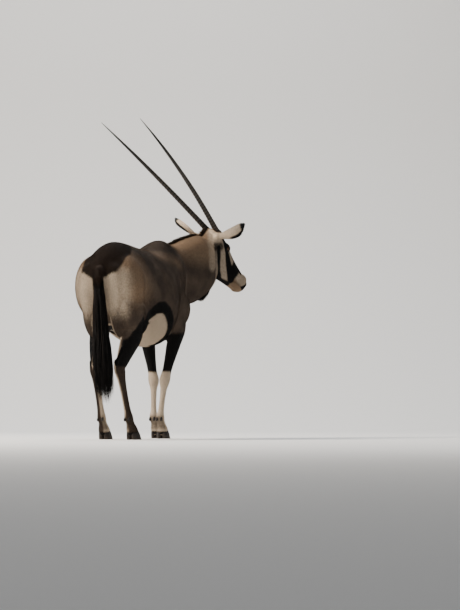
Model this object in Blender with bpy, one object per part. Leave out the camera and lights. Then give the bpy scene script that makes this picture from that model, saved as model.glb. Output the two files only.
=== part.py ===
# A gemsbok (Oryx gazella), life size, standing at rest with its neck and head turned to its right.
# Metres. +X is the way the trunk faces, +Y is the animal's left, +Z is up, and the hooves stand on z = 0.
# The flesh is lofted from a few cross-sections, fused, smoothed and then parted with thin flat cuts.

import math
import random

import bmesh
import bpy
from mathutils import Matrix, Vector
from mathutils.bvhtree import BVHTree

# Driving dimensions
WITHERS = 1.220           # height of the top of the shoulders
CROUP = 1.175             # height of the top of the rump
HEAD_LENGTH = 0.43        # nape to nose
HORN_LENGTH = 1.048
HORN_RADIUS = 0.0152      # above the flare at the root
EAR_LENGTH = 0.200
EYE_RADIUS = 0.019
GAP = 0.0003              # between parts that touch
CUT = 2.0                 # side of a block that parts the flesh, larger than the animal
TORSO_TRIANGLES = 4300    # kept when the skin of the body is thinned
HEAD_TRIANGLES = 1800

# Pose of the head: where the nape joint is, how far it is turned right and pitched down
NAPE = Vector((0.8365, -0.147, 1.265))
HEAD_TURN = math.radians(-25.5)
HEAD_PITCH = math.radians(45)
HEAD = Matrix.Translation(NAPE) @ Matrix.Rotation(HEAD_TURN, 4, "Z") @ Matrix.Rotation(HEAD_PITCH, 4, "Y")

# Trunk sections: x, top, bottom, half width
TRUNK = [
    (-0.585, 0.985, 0.900, 0.035),
    (-0.555, 1.050, 0.830, 0.085),
    (-0.500, 1.108, 0.770, 0.130),
    (-0.430, 1.152, 0.715, 0.165),
    (-0.340, CROUP, 0.675, 0.190),
    (-0.230, 1.173, 0.635, 0.200),
    (-0.110, 1.162, 0.595, 0.212),
    (0.000, 1.153, 0.568, 0.222),
    (0.100, 1.150, 0.556, 0.224),
    (0.180, 1.164, 0.558, 0.210),
    (0.255, 1.196, 0.570, 0.186),
    (0.345, WITHERS, 0.588, 0.160),
    (0.430, WITHERS - 0.008, 0.615, 0.138),
    (0.510, 1.170, 0.670, 0.114),
    (0.565, 1.050, 0.735, 0.085),
    (0.590, 0.960, 0.800, 0.045),
]

# Neck sections: centre, turn right and rise in degrees, half height up, half height down, half width
NECK = [
    ((0.340, 0.000, 0.965), 0, 20, 0.205, 0.205, 0.135),
    ((0.455, -0.012, 1.010), -5, 22, 0.190, 0.220, 0.126),
    ((0.560, -0.044, 1.045), -12, 22, 0.172, 0.240, 0.113),
    ((0.650, -0.078, 1.075), -19, 22, 0.172, 0.234, 0.101),
    ((0.730, -0.110, 1.105), -23, 22, 0.166, 0.214, 0.091),
    ((0.790, -0.132, 1.140), -25, 26, 0.145, 0.182, 0.080),
    ((0.845, -0.150, 1.170), -25, 30, 0.095, 0.115, 0.064),
]

# Head sections in the head's own frame (x to the nose, z to the brow): x, top, bottom, half width
SKULL = [
    (-0.052, 0.012, -0.100, 0.036),
    (-0.030, 0.040, -0.130, 0.056),
    (0.015, 0.058, -0.155, 0.070),
    (0.065, 0.064, -0.172, 0.074),
    (0.115, 0.064, -0.178, 0.070),
    (0.165, 0.055, -0.168, 0.060),
    (0.225, 0.043, -0.146, 0.050),
    (0.285, 0.036, -0.122, 0.044),
    (0.340, 0.032, -0.103, 0.042),
    (0.382, 0.027, -0.089, 0.045),
    (0.410, 0.015, -0.077, 0.042),
    (HEAD_LENGTH - 0.004, -0.004, -0.062, 0.031),
]

# Rounded forms of the head, in its own frame and on both sides: centre, radii
HEAD_FORMS = {
    "brow": ((0.120, 0.050, 0.022), (0.034, 0.026, 0.026)),
    "jaw_muscle": ((0.080, 0.045, -0.090), (0.066, 0.028, 0.072)),
    "nose_side": ((0.372, 0.026, 0.007), (0.034, 0.021, 0.023)),
    "nostril_wing": ((0.398, 0.025, -0.012), (0.028, 0.021, 0.025)),
    "upper_lip": ((0.382, 0.024, -0.046), (0.030, 0.021, 0.016)),
    "horn_base": ((0.022, 0.031, 0.040), (0.036, 0.031, 0.032)),
}
LOWER_LIP = ((0.378, 0.000, -0.074), (0.032, 0.030, 0.018))
EAR_BASE = (0.030, 0.026, 0.028)

# Muscle masses as ellipsoids, mirrored to both sides: centre, radii, turn about the cross axis in degrees
MUSCLES = {
    "haunch": ((-0.385, 0.110, 0.900), (0.165, 0.098, 0.190), -8),
    "buttock": ((-0.510, 0.080, 0.870), (0.072, 0.068, 0.170), -6),
    "hamstring": ((-0.462, 0.086, 0.735), (0.078, 0.050, 0.150), -18),
    "hip_point": ((-0.240, 0.092, 1.050), (0.100, 0.066, 0.066), 0),
    "shoulder_blade": ((0.360, 0.086, 0.935), (0.135, 0.078, 0.225), 24),
    "upper_arm": ((0.432, 0.100, 0.795), (0.125, 0.072, 0.115), -40),
    "triceps": ((0.335, 0.114, 0.765), (0.130, 0.062, 0.130), -20),
    "stifle": ((-0.268, 0.130, 0.722), (0.098, 0.056, 0.110), -15),
}

# Fusing of the flesh: size of a voxel, rounds of easing
TRUNK_FUSE = (0.009, 26)
BODY_FUSE = (0.0055, 7)
HEAD_FUSE = (0.0032, 9)
NECK_RINGS_IN_HEAD = 11

# Cuts that part the body: a place and a lean in degrees, or a height
NAPE_CUT = (-0.024, -4.6)                      # ahead of the nape joint, lean
NECK_CUT = ((0.420, 0.0, WITHERS), -30)
THIGH_CUT = ((-0.150, 0.0, 0.670), 28)
HOCK_CUT = 0.400
ELBOW_CUT = 0.572
KNEE_CUT = 0.345
FORELEG_INSIDE = {"right": -0.058, "left": 0.036}

# Leg joints. Each leg runs through these points, and its sections are set between them.
FORE_JOINTS = {
    "right": [(0.395, -0.125, 0.800), (0.318, -0.136, 0.650), (0.234, -0.094, 0.358),
              (0.219, -0.071, 0.132), (0.255, -0.069, 0.062), (0.274, -0.068, 0.030)],
    "left": [(0.455, 0.112, 0.800), (0.432, 0.108, 0.650), (0.446, 0.066, 0.358),
             (0.416, 0.054, 0.132), (0.452, 0.053, 0.062), (0.471, 0.052, 0.030)],
}
HIND_JOINTS = {
    "right": [(-0.385, -0.115, 0.900), (-0.378, -0.134, 0.760), (-0.378, -0.140, 0.630), (-0.494, -0.106, 0.418),
              (-0.450, -0.146, 0.132), (-0.412, -0.150, 0.062), (-0.393, -0.151, 0.030)],
    "left": [(-0.385, 0.096, 0.900), (-0.352, 0.088, 0.760), (-0.336, 0.092, 0.630), (-0.425, 0.080, 0.418),
             (-0.306, 0.090, 0.132), (-0.268, 0.091, 0.062), (-0.249, 0.091, 0.030)],
}
# Leg sections: segment between joints, share along it, half depth fore and aft, half width
FORE_SECTIONS = [
    (0, 0.00, 0.070, 0.040), (0, 0.60, 0.085, 0.048), (1, 0.00, 0.076, 0.046), (1, 0.25, 0.056, 0.041),
    (1, 0.55, 0.038, 0.033), (1, 0.80, 0.030, 0.028), (1, 0.92, 0.033, 0.0315), (2, 0.00, 0.035, 0.0335),
    (2, 0.12, 0.032, 0.0280), (2, 0.25, 0.0232, 0.0210), (2, 0.55, 0.0205, 0.0172), (2, 0.82, 0.0208, 0.0190),
    (3, 0.00, 0.029, 0.0258), (3, 0.50, 0.0230, 0.0248), (4, 0.00, 0.033, 0.0330), (4, 0.85, 0.035, 0.0340),
]
HIND_SECTIONS = [
    (0, 0.00, 0.130, 0.050), (0, 0.60, 0.150, 0.060), (1, 0.00, 0.146, 0.064), (1, 0.50, 0.125, 0.060),
    (2, 0.00, 0.098, 0.052), (2, 0.30, 0.078, 0.048), (2, 0.58, 0.059, 0.041), (2, 0.82, 0.046, 0.033),
    (3, -0.04, 0.043, 0.030), (3, 0.06, 0.041, 0.031), (3, 0.18, 0.031, 0.026), (3, 0.33, 0.0245, 0.0225),
    (3, 0.60, 0.0220, 0.0198), (3, 0.84, 0.0225, 0.0208), (4, 0.00, 0.030, 0.0260), (4, 0.50, 0.0235, 0.0250),
    (5, 0.00, 0.034, 0.0335), (5, 0.85, 0.036, 0.0345),
]

# Feet: one pair of claws a leg
CLAW_LENGTH = 0.092
CLAW_WIDTH = 0.035
CLAW_HEIGHT = 0.052
CLAW_SPLAY = math.radians(5)
DEWCLAW = (0.0090, 0.0070, 0.0140)
DEWCLAW_PLACE = (-0.0225, 0.0135, -0.012)    # from the fetlock: ahead, out, up

# Horn: root in the head's frame, rise above the level behind, and how the rise and the spread change
HORN_ROOT = Vector((0.022, 0.031, 0.046))
HORN_RISE = (math.radians(44.3), math.radians(35.8))
HORN_SPREAD = (math.radians(11.5), math.radians(4.8))
HORN_RINGS = 19
HORN_RINGED_TO = 0.62     # share of the length
HORN_RING_SWELL = (0.955, 1.055)
HORN_FLARE = (0.0048, 0.045)
HORN_SIDES = 9

# Ears: root in the head's frame, the way each points and the way it opens: ahead, out to its side, up
EAR_ROOTS = {"right": (0.012, 0.065, 0.000), "left": (-0.008, 0.074, -0.020)}
EAR_WAYS = {"right": (0.46, 0.78, 0.42), "left": (-0.440, 0.620, 0.650)}
EAR_OPENINGS = {"right": (0.80, -0.15, -0.60), "left": (-0.15, 0.69, -0.81)}
EAR_ROWS = [  # share of the length, half width, curl
    (0.00, 0.40, 0.95), (0.10, 0.47, 1.00), (0.24, 0.68, 0.86), (0.40, 0.90, 0.66), (0.56, 1.04, 0.52),
    (0.70, 1.06, 0.44), (0.82, 0.90, 0.38), (0.92, 0.52, 0.32), (0.985, 0.12, 0.30),
]
EAR_COLUMNS = 8
EAR_CURL = math.radians(95)
EAR_STEM = (0.0185, 0.0185, 0.036)
EAR_HALF_WIDTH = 0.045
EAR_FULLNESS = {"right": 0.98, "left": 0.74}
EAR_WALL = 0.005
EAR_SWEEP = 0.030         # how far the leaf sags below the line from root to tip

EYE_PLACE = Vector((0.122, 0.0600, 0.012))
LID = 0.0035              # the lids stand out of the eyeball
LID_OPENING = (0.0165, 0.017, 0.0100)
NOSTRIL_PLACE = Vector((0.4175, 0.0245, 0.000))
NOSTRIL = (0.0150, 0.0065, 0.0085)
MOUTH_LINE = [(0.306, -0.074), (0.336, -0.067), (0.366, -0.058), (0.394, -0.051), (0.412, -0.046)]
MOUTH_GROOVE = (0.0050, 0.0017)

# Tail: points down the dock, each with its half width
TAIL = [
    ((-0.500, -0.004, 1.005), 0.036),
    ((-0.558, -0.008, 1.008), 0.036),
    ((-0.595, -0.014, 0.950), 0.031),
    ((-0.604, -0.022, 0.860), 0.025),
    ((-0.606, -0.032, 0.740), 0.030),
    ((-0.610, -0.043, 0.620), 0.041),
    ((-0.614, -0.053, 0.500), 0.047),
    ((-0.616, -0.044, 0.410), 0.024),
]
TAIL_TIERS = [  # height, locks, shortest, longest
    (0.790, 6, 0.30, 0.38), (0.690, 7, 0.34, 0.41), (0.590, 7, 0.32, 0.38), (0.500, 7, 0.24, 0.32),
]
# Locks of hair, width and thickness
TAIL_LOCK = (0.052, 0.020)
MANE_LOCK = (0.040, 0.011)
THROAT_LOCK = (0.024, 0.010)
THROAT_LOCKS = 8
CREST = [(0.775, -0.118), (0.700, -0.090), (0.620, -0.060), (0.540, -0.030), (0.460, -0.012)]


def smooth_between(rows, steps):
    """Rows of numbers read more finely along Catmull-Rom curves through them."""
    fine = []
    for i in range(len(rows) - 1):
        before, here = rows[max(i - 1, 0)], rows[i]
        there, after = rows[i + 1], rows[min(i + 2, len(rows) - 1)]
        for k in range(steps):
            t = k / steps
            fine.append(tuple(
                0.5 * (2 * b + (c - a) * t + (2 * a - 5 * b + 4 * c - d) * t * t + (3 * b - a - 3 * c + d) * t ** 3)
                for a, b, c, d in zip(before, here, there, after)
            ))
    fine.append(tuple(rows[-1]))
    return fine


def oval(centre, side, rise, half_width, half_up, half_down, power, count, power_up=None):
    """Points of a rounded section about a centre. A power of 2 is an ellipse, and more is squarer."""
    points, power_down = [], power
    for k in range(count):
        angle = math.tau * k / count
        c, s = math.cos(angle), math.sin(angle)
        power = power_up if power_up and s > 0 else power_down
        across = math.copysign(abs(c) ** (2 / power), c) * half_width
        up = math.copysign(abs(s) ** (2 / power), s) * (half_up if s > 0 else half_down)
        points.append(centre + side * across + rise * up)
    return points


def add_loft(bm, rings):
    """A closed skin through rings of the same number of points."""
    rows = [[bm.verts.new(p) for p in ring] for ring in rings]
    count = len(rows[0])
    faces = [bm.faces.new(rows[0]), bm.faces.new(rows[-1])]
    for low, high in zip(rows, rows[1:]):
        for k in range(count):
            faces.append(bm.faces.new((low[k], low[(k + 1) % count], high[(k + 1) % count], high[k])))
    bmesh.ops.recalc_face_normals(bm, faces=faces)
    return rows


def add_ellipsoid(bm, centre, radii, turn=None, detail=3):
    made = bmesh.ops.create_icosphere(bm, subdivisions=detail, radius=1.0)
    turn = turn or Matrix.Identity(4)
    place = Matrix.Translation(Vector(centre)) @ turn @ Matrix.Diagonal((*radii, 1.0))
    bmesh.ops.transform(bm, matrix=place, verts=made["verts"])


def object_of(name, bm):
    bmesh.ops.triangulate(bm, faces=bm.faces[:])
    mesh = bpy.data.meshes.new(name)
    bm.to_mesh(mesh)
    bm.free()
    obj = bpy.data.objects.new(name, mesh)
    bpy.context.scene.collection.objects.link(obj)
    return obj


def settle(obj):
    """Turns an object's modifiers into its mesh."""
    bpy.context.view_layer.update()
    evaluated = obj.evaluated_get(bpy.context.evaluated_depsgraph_get())
    mesh = bpy.data.meshes.new_from_object(evaluated)
    obj.modifiers.clear()
    old = obj.data
    obj.data = mesh
    bpy.data.meshes.remove(old)
    return obj


def fuse_soft(obj, voxel, rounds):
    """Fuses crossing closed shapes into one skin, and eases the creases where they meet."""
    remesh = obj.modifiers.new("fuse", "REMESH")
    remesh.mode = "VOXEL"
    remesh.voxel_size = voxel
    ease = obj.modifiers.new("ease", "SMOOTH")
    ease.factor = 0.5
    ease.iterations = rounds
    return settle(obj)


def thin_out(obj, triangles):
    """Keeps about so many triangles, most where the form bends most."""
    thin = obj.modifiers.new("thin", "DECIMATE")
    obj.data.calc_loop_triangles()
    thin.ratio = triangles / len(obj.data.loop_triangles)
    return settle(obj)


def boolean(obj, other, operation):
    step = obj.modifiers.new(operation, "BOOLEAN")
    step.operation = operation
    step.solver = "MANIFOLD"
    step.object = other
    return settle(obj)


def copy_of(obj, name):
    twin = bpy.data.objects.new(name, obj.data.copy())
    bpy.context.scene.collection.objects.link(twin)
    return twin


def discard(*objs):
    for obj in objs:
        bpy.data.objects.remove(obj)


def grown(obj):
    """A copy whose faces stand out by the gap, with a little more for its corners."""
    twin = copy_of(obj, obj.name + "_grown")
    normals = [v.normal.copy() for v in twin.data.vertices]
    for vertex, normal in zip(twin.data.vertices, normals):
        vertex.co += normal * GAP * 1.3
    return twin


def keep_largest(obj):
    """Drops loose scraps and sealed hollows, so that the node is one closed surface."""
    bm = bmesh.new()
    bm.from_mesh(obj.data)
    left = set(bm.verts)
    islands = []
    while left:
        stack, island = [left.pop()], set()
        while stack:
            vertex = stack.pop()
            island.add(vertex)
            for edge in vertex.link_edges:
                other = edge.other_vert(vertex)
                if other in left:
                    left.remove(other)
                    stack.append(other)
        islands.append(island)
    islands.sort(key=len, reverse=True)
    bmesh.ops.delete(bm, geom=[v for island in islands[1:] for v in island], context="VERTS")
    bmesh.ops.triangulate(bm, faces=bm.faces[:])
    bm.to_mesh(obj.data)
    bm.free()
    return obj


def block(name, place, low, high):
    """A box between two corners of the frame that place gives."""
    bm = bmesh.new()
    bmesh.ops.create_cube(bm, size=1.0)
    size = Vector(high) - Vector(low)
    middle = (Vector(high) + Vector(low)) / 2
    matrix = place @ Matrix.Translation(middle) @ Matrix.Diagonal((*size, 1.0))
    bmesh.ops.transform(bm, matrix=matrix, verts=bm.verts)
    return object_of(name, bm)


def leaning(place, degrees):
    """A frame at a place, leaning about the cross axis."""
    return Matrix.Translation(place) @ Matrix.Rotation(math.radians(degrees), 4, "Y")


def part_off(body, name, place, low, high):
    """Takes what lies in a block out of the body as a new object, with the gap between them."""
    piece = copy_of(body, name)
    inner = block("cutter", place, low, high)
    boolean(piece, inner, "INTERSECT")
    outer = block("cutter", place, [v - GAP for v in low], [v + GAP for v in high])
    boolean(body, outer, "DIFFERENCE")
    discard(inner, outer)
    keep_largest(piece)
    keep_largest(body)
    return piece


def seat(parent, child):
    """Cuts the parent back to the gap from a child that is sunk into it."""
    cutter = grown(child)
    boolean(parent, cutter, "DIFFERENCE")
    discard(cutter)
    return keep_largest(parent)


def fuse_all(obj, pieces):
    """Unites closed pieces with their node in one Boolean."""
    group = bpy.data.collections.new("pieces")
    bpy.context.scene.collection.children.link(group)
    for piece in pieces:
        bpy.context.scene.collection.objects.unlink(piece)
        group.objects.link(piece)
    step = obj.modifiers.new("unite", "BOOLEAN")
    step.operation = "UNION"
    step.operand_type = "COLLECTION"
    step.solver = "MANIFOLD"
    step.collection = group
    settle(obj)
    discard(*pieces)
    bpy.data.collections.remove(group)
    return keep_largest(obj)


def trunk_and_muscles():
    bm = bmesh.new()
    rings = []
    for x, top, bottom, half in smooth_between(TRUNK, 3):
        belly = bottom + 0.46 * (top - bottom)
        rings.append(oval(Vector((x, 0, belly)), Vector((0, 1, 0)), Vector((0, 0, 1)),
                          half, top - belly, belly - bottom, 2.1, 32, 1.8 if x < 0 else 2.0))
    add_loft(bm, rings)
    for centre, radii, lean in MUSCLES.values():
        for side in (1, -1):
            place = Vector((centre[0], centre[1] * side, centre[2]))
            add_ellipsoid(bm, place, radii, Matrix.Rotation(math.radians(lean), 4, "Y"))
    add_loft(bm, neck_rings())
    return object_of("trunk", bm)


def neck_rings():
    rows = [(*centre, turn, rise, up, down, half) for centre, turn, rise, up, down, half in NECK]
    rings = []
    for x, y, z, turn, rise, up, down, half in smooth_between(rows, 3):
        lie = Matrix.Rotation(math.radians(turn), 3, "Z") @ Matrix.Rotation(math.radians(-rise), 3, "Y")
        rings.append(oval(Vector((x, y, z)), lie @ Vector((0, 1, 0)), lie @ Vector((0, 0, 1)),
                          half, up, down, 2.0, 28))
    return rings


def leg_rings(joints, sections):
    """Rings down a leg. Each lies across the leg's run there, with its depth fore and aft."""
    points = [Vector(p) for p in joints]
    rows = []
    for segment, share, depth, width in sections:
        start, end = points[segment], points[segment + 1]
        rows.append((*(start + (end - start) * share), depth, width))
    fine = smooth_between(rows, 3)
    rings = []
    for i, (x, y, z, depth, width) in enumerate(fine):
        before, after = fine[max(i - 1, 0)], fine[min(i + 1, len(fine) - 1)]
        run = (Vector(after[:3]) - Vector(before[:3])).normalized()
        side = Vector((0, 1, 0))
        ahead = side.cross(run).normalized()
        side = run.cross(ahead).normalized()
        rings.append(oval(Vector((x, y, z)), side, ahead, width, depth, depth, 2.0, 16))
    return rings


def add_hock(bm, joints):
    """The heel bone behind the hock and the tendon that runs up from it."""
    stifle, hock = Vector(joints[2]), Vector(joints[3])
    heel = hock + Vector((-0.050, 0, 0.034))
    add_ellipsoid(bm, heel, (0.017, 0.015, 0.022), detail=2)
    up = (stifle - hock).normalized()
    tendon_top = hock + up * 0.13 + Vector((-0.048, 0, 0.0))
    rows = [(*heel, 0.014), (*(heel.lerp(tendon_top, 0.35)), 0.012), (*tendon_top, 0.022)]
    rings = []
    run = (tendon_top - heel).normalized()
    side = Vector((0, 1, 0))
    for x, y, z, half in smooth_between(rows, 3):
        rings.append(oval(Vector((x, y, z)), side, run.cross(side), half, half * 1.3, half * 1.3, 2.0, 10))
    add_loft(bm, rings)
    add_ellipsoid(bm, hock.lerp(heel, 0.45), (0.030, 0.021, 0.026), detail=2)


def flesh():
    """The whole body but the head, as one skin."""
    body = trunk_and_muscles()
    fuse_soft(body, *TRUNK_FUSE)
    bm = bmesh.new()
    bm.from_mesh(body.data)
    discard(body)
    for side in ("right", "left"):
        add_loft(bm, leg_rings(FORE_JOINTS[side], FORE_SECTIONS))
        add_loft(bm, leg_rings(HIND_JOINTS[side], HIND_SECTIONS))
        add_hock(bm, HIND_JOINTS[side])
    body = object_of("torso", bm)
    return fuse_soft(body, *BODY_FUSE)


def head_flesh():
    """The head in its own frame, with the upper neck inside it, as one skin moved to its place."""
    bm = bmesh.new()
    rings = []
    for x, top, bottom, half in smooth_between(SKULL, 3):
        level = bottom + 0.62 * (top - bottom)
        rings.append(oval(Vector((x, 0, level)), Vector((0, 1, 0)), Vector((0, 0, 1)),
                          half, top - level, level - bottom, 2.25, 28))
    add_loft(bm, rings)
    for label, side in (("left", 1), ("right", -1)):
        for (x, y, z), radii in HEAD_FORMS.values():
            add_ellipsoid(bm, (x, side * y, z), radii)
        x, y, z = EAR_ROOTS[label]
        add_ellipsoid(bm, (x, side * y * 0.9, z), EAR_BASE)
    add_ellipsoid(bm, *LOWER_LIP)
    inverse = HEAD.inverted()
    add_loft(bm, [[inverse @ p for p in ring] for ring in neck_rings()[-NECK_RINGS_IN_HEAD:]])
    head = object_of("head", bm)
    fuse_soft(head, *HEAD_FUSE)
    head.data.transform(HEAD)
    return head


def in_heading(ahead, side, up):
    """A direction given by the way the head faces, level, as a vector in the world."""
    return Matrix.Rotation(HEAD_TURN, 3, "Z") @ Vector((ahead, side, up))


def horn(side):
    """A long, nearly straight horn, ringed over its lower half and smooth to its point."""
    sign = 1 if side == "left" else -1
    root = HEAD @ Vector((HORN_ROOT.x, sign * HORN_ROOT.y, HORN_ROOT.z))
    stations = [k / (2 * HORN_RINGS) * HORN_RINGED_TO for k in range(2 * HORN_RINGS)]
    stations += [HORN_RINGED_TO + (1 - HORN_RINGED_TO) * share for share in (0, 0.25, 0.5, 0.72, 0.88, 0.97)]
    rings, centre, last = [], root, 0.0
    for k, t in enumerate(stations):
        rise = HORN_RISE[0] + (HORN_RISE[1] - HORN_RISE[0]) * t
        spread = HORN_SPREAD[0] + (HORN_SPREAD[1] - HORN_SPREAD[0]) * t
        way = in_heading(-math.cos(rise) * math.cos(spread), sign * math.sin(spread),
                         math.sin(rise) * math.cos(spread)).normalized()
        centre = centre + way * (t - last) * HORN_LENGTH
        last = t
        radius = HORN_RADIUS * (1 - t ** 1.8) ** 0.85 + HORN_FLARE[0] * math.exp(-t / HORN_FLARE[1]) + 0.0010
        if k < 2 * HORN_RINGS:
            radius *= HORN_RING_SWELL[k % 2]
        across = way.cross(Vector((0, 0, 1))).normalized()
        rings.append(oval(centre, across, way.cross(across), radius, radius * 1.08, radius * 1.08, 2.0, HORN_SIDES))
    bm = bmesh.new()
    add_loft(bm, rings)
    return object_of("horn_" + side, bm)


def ear(side):
    """A leaf-shaped cup: a solid stem at the root, opening into a curled sheet with a closed rim."""
    sign = 1 if side == "left" else -1
    x, y, z = EAR_ROOTS[side]
    root = HEAD @ Vector((x, sign * y, z))
    ahead, out, up = EAR_WAYS[side]
    way = in_heading(ahead, sign * out, up).normalized()
    ahead, out, up = EAR_OPENINGS[side]
    opening = in_heading(ahead, sign * out, up)
    opening = (opening - way * opening.dot(way)).normalized()
    across = way.cross(opening).normalized()
    rise = across if across.z > 0 else -across
    rings = []
    for t, wide, curl in EAR_ROWS:
        half = EAR_HALF_WIDTH * wide * (EAR_FULLNESS[side] if t > 0.2 else 1.0)
        spine = root + way * EAR_LENGTH * t - opening * 0.012 * math.sin(math.pi * t)
        spine -= rise * EAR_SWEEP * math.sin(math.pi * t ** 1.35)
        outer, inner = [], []
        wall = EAR_WALL * (1 - 0.45 * t)
        bend = EAR_CURL * (0.45 + 0.55 * curl)
        reach = half / bend * 1.45
        for k in range(EAR_COLUMNS + 1):
            angle = (k / EAR_COLUMNS * 2 - 1) * bend
            flat = across * math.sin(angle) * reach + opening * (reach * (1 - math.cos(angle)) - half * 0.35)
            inward = (opening * math.cos(angle) - across * math.sin(angle)) * wall
            outer.append(spine + flat)
            inner.append(spine + flat + inward)
        rings.append(outer + inner[::-1])
    bm = bmesh.new()
    add_loft(bm, rings)
    stem = object_of("ear_" + side, bm)
    bm = bmesh.new()
    turn = Matrix((across, opening, way)).transposed().to_4x4()
    add_ellipsoid(bm, root + way * 0.016 + opening * 0.002, EAR_STEM, turn, 1)
    return fuse_all(stem, [object_of("stem", bm)])


def eye(side):
    sign = 1 if side == "left" else -1
    bm = bmesh.new()
    bmesh.ops.create_uvsphere(bm, u_segments=10, v_segments=7, radius=EYE_RADIUS)
    bmesh.ops.transform(bm, verts=bm.verts, matrix=HEAD @ Matrix.Translation(
        (EYE_PLACE.x, sign * EYE_PLACE.y, EYE_PLACE.z)))
    return object_of("eye_" + side, bm)


def carve_face(head):
    """Lids, nostrils and the line of the mouth."""
    for sign in (1, -1):
        place = HEAD @ Matrix.Translation((EYE_PLACE.x, sign * EYE_PLACE.y, EYE_PLACE.z))
        bm = bmesh.new()
        bmesh.ops.create_uvsphere(bm, u_segments=12, v_segments=8, radius=EYE_RADIUS + LID)
        bmesh.ops.transform(bm, verts=bm.verts, matrix=place)
        lid = object_of("lid", bm)
        boolean(head, lid, "UNION")
        look = place @ Matrix.Rotation(math.radians(-12), 4, "Y") @ Matrix.Translation((0, sign * 0.024, 0))
        bm = bmesh.new()
        add_ellipsoid(bm, (0, 0, 0), LID_OPENING, detail=2)
        bmesh.ops.transform(bm, verts=bm.verts, matrix=look)
        opening = object_of("opening", bm)
        boolean(head, opening, "DIFFERENCE")
        bm = bmesh.new()
        nostril = HEAD @ Matrix.Translation((NOSTRIL_PLACE.x, sign * NOSTRIL_PLACE.y, NOSTRIL_PLACE.z))
        nostril = nostril @ Matrix.Rotation(sign * math.radians(38), 4, "Z") @ Matrix.Rotation(math.radians(35), 4, "Y")
        add_ellipsoid(bm, (0, 0, 0), NOSTRIL, detail=2)
        bmesh.ops.transform(bm, verts=bm.verts, matrix=nostril)
        hole = object_of("nostril", bm)
        boolean(head, hole, "DIFFERENCE")
        discard(lid, opening, hole)
    mouth = mouth_groove(head)
    boolean(head, mouth, "DIFFERENCE")
    discard(mouth)
    return keep_largest(head)


def mouth_groove(head):
    """A fine wedge along the mouth, found on the skin from corner to corner of the lips."""
    local = head.data.copy()
    local.transform(HEAD.inverted())
    tree = BVHTree.FromPolygons([v.co for v in local.vertices], [p.vertices[:] for p in local.polygons])
    bpy.data.meshes.remove(local)
    path = []
    for x, z in MOUTH_LINE:
        path.append(tree.ray_cast(Vector((x, 0, z)), Vector((0, -1, 0)))[0])
    middle = tree.ray_cast(Vector((0.36, 0, -0.044)), Vector((1, 0, 0)))[0]
    path = path + [Vector((middle.x - 0.003, -0.016, -0.0445)), Vector((middle.x, 0, -0.044))]
    path += [Vector((p.x, -p.y, p.z)) for p in path[-2::-1]]
    rings, (deep, high) = [], MOUTH_GROOVE
    for i, point in enumerate(path):
        run = (path[min(i + 1, len(path) - 1)] - path[max(i - 1, 0)]).normalized()
        rise = Vector((0, 0, 1))
        side = run.cross(rise).normalized()
        rings.append(oval(point, side, rise, deep, high, high, 2.0, 6))
    bm = bmesh.new()
    add_loft(bm, [[HEAD @ p for p in ring] for ring in rings])
    return object_of("mouth", bm)


def claw(name, foot, heading, side):
    """One half of a cloven hoof: a flat sole, a sloping wall in front and a pointed toe."""
    count = 14
    sole, wall, crown = [], [], []
    for k in range(count):
        angle = math.tau * k / count
        c, s = math.cos(angle), math.sin(angle)
        taper = 1 - 0.50 * max(c, 0) ** 2
        along = CLAW_LENGTH / 2 * c
        across = CLAW_WIDTH / 2 * math.copysign(abs(s) ** 0.8, s) * taper
        sole.append(Vector((along, across, 0)))
        wall.append(Vector((along * 0.86 - 0.010, across * 0.98, CLAW_HEIGHT * (0.50 + 0.10 * c))))
        crown.append(Vector((along * 0.62 - 0.020, across * 0.84, CLAW_HEIGHT * (0.92 + 0.16 * c))))
    place = Matrix.Translation(foot) @ Matrix.Rotation(heading, 4, "Z")
    place = place @ Matrix.Translation((0.010, side * (CLAW_WIDTH / 2 + 0.0022), 0))
    place = place @ Matrix.Rotation(side * CLAW_SPLAY, 4, "Z")
    bm = bmesh.new()
    add_loft(bm, [[place @ p for p in ring] for ring in (sole, wall, crown)])
    return object_of(name, bm)


def dewclaw(name, fetlock, heading, side):
    """The small spur behind the fetlock."""
    bm = bmesh.new()
    place = Matrix.Translation(fetlock) @ Matrix.Rotation(heading, 4, "Z")
    ahead, out, up = DEWCLAW_PLACE
    place = place @ Matrix.Translation((ahead, side * out, up)) @ Matrix.Rotation(math.radians(25), 4, "Y")
    add_ellipsoid(bm, (0, 0, 0), DEWCLAW, detail=1)
    bmesh.ops.transform(bm, verts=bm.verts, matrix=place)
    return object_of(name, bm)


def feet(legs):
    """Claws and dewclaws for every leg, each leg cut back to them."""
    nodes = []
    for name, leg, joints in legs:
        end = Vector(joints[-1])
        run = end - Vector(joints[-3])
        heading = math.atan2(run.y, run.x)
        foot = Vector((end.x, end.y, 0))
        for label, side in (("outer", 1), ("inner", -1)):
            side *= 1 if name.endswith("left") else -1
            piece = claw(f"hoof_{name}_{label}", foot, heading, side)
            seat(leg, piece)
            nodes.append(piece)
            spur = dewclaw(f"dewclaw_{name}_{label}", Vector(joints[-3]), heading, side)
            seat(leg, spur)
            nodes.append(spur)
    return nodes


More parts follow.
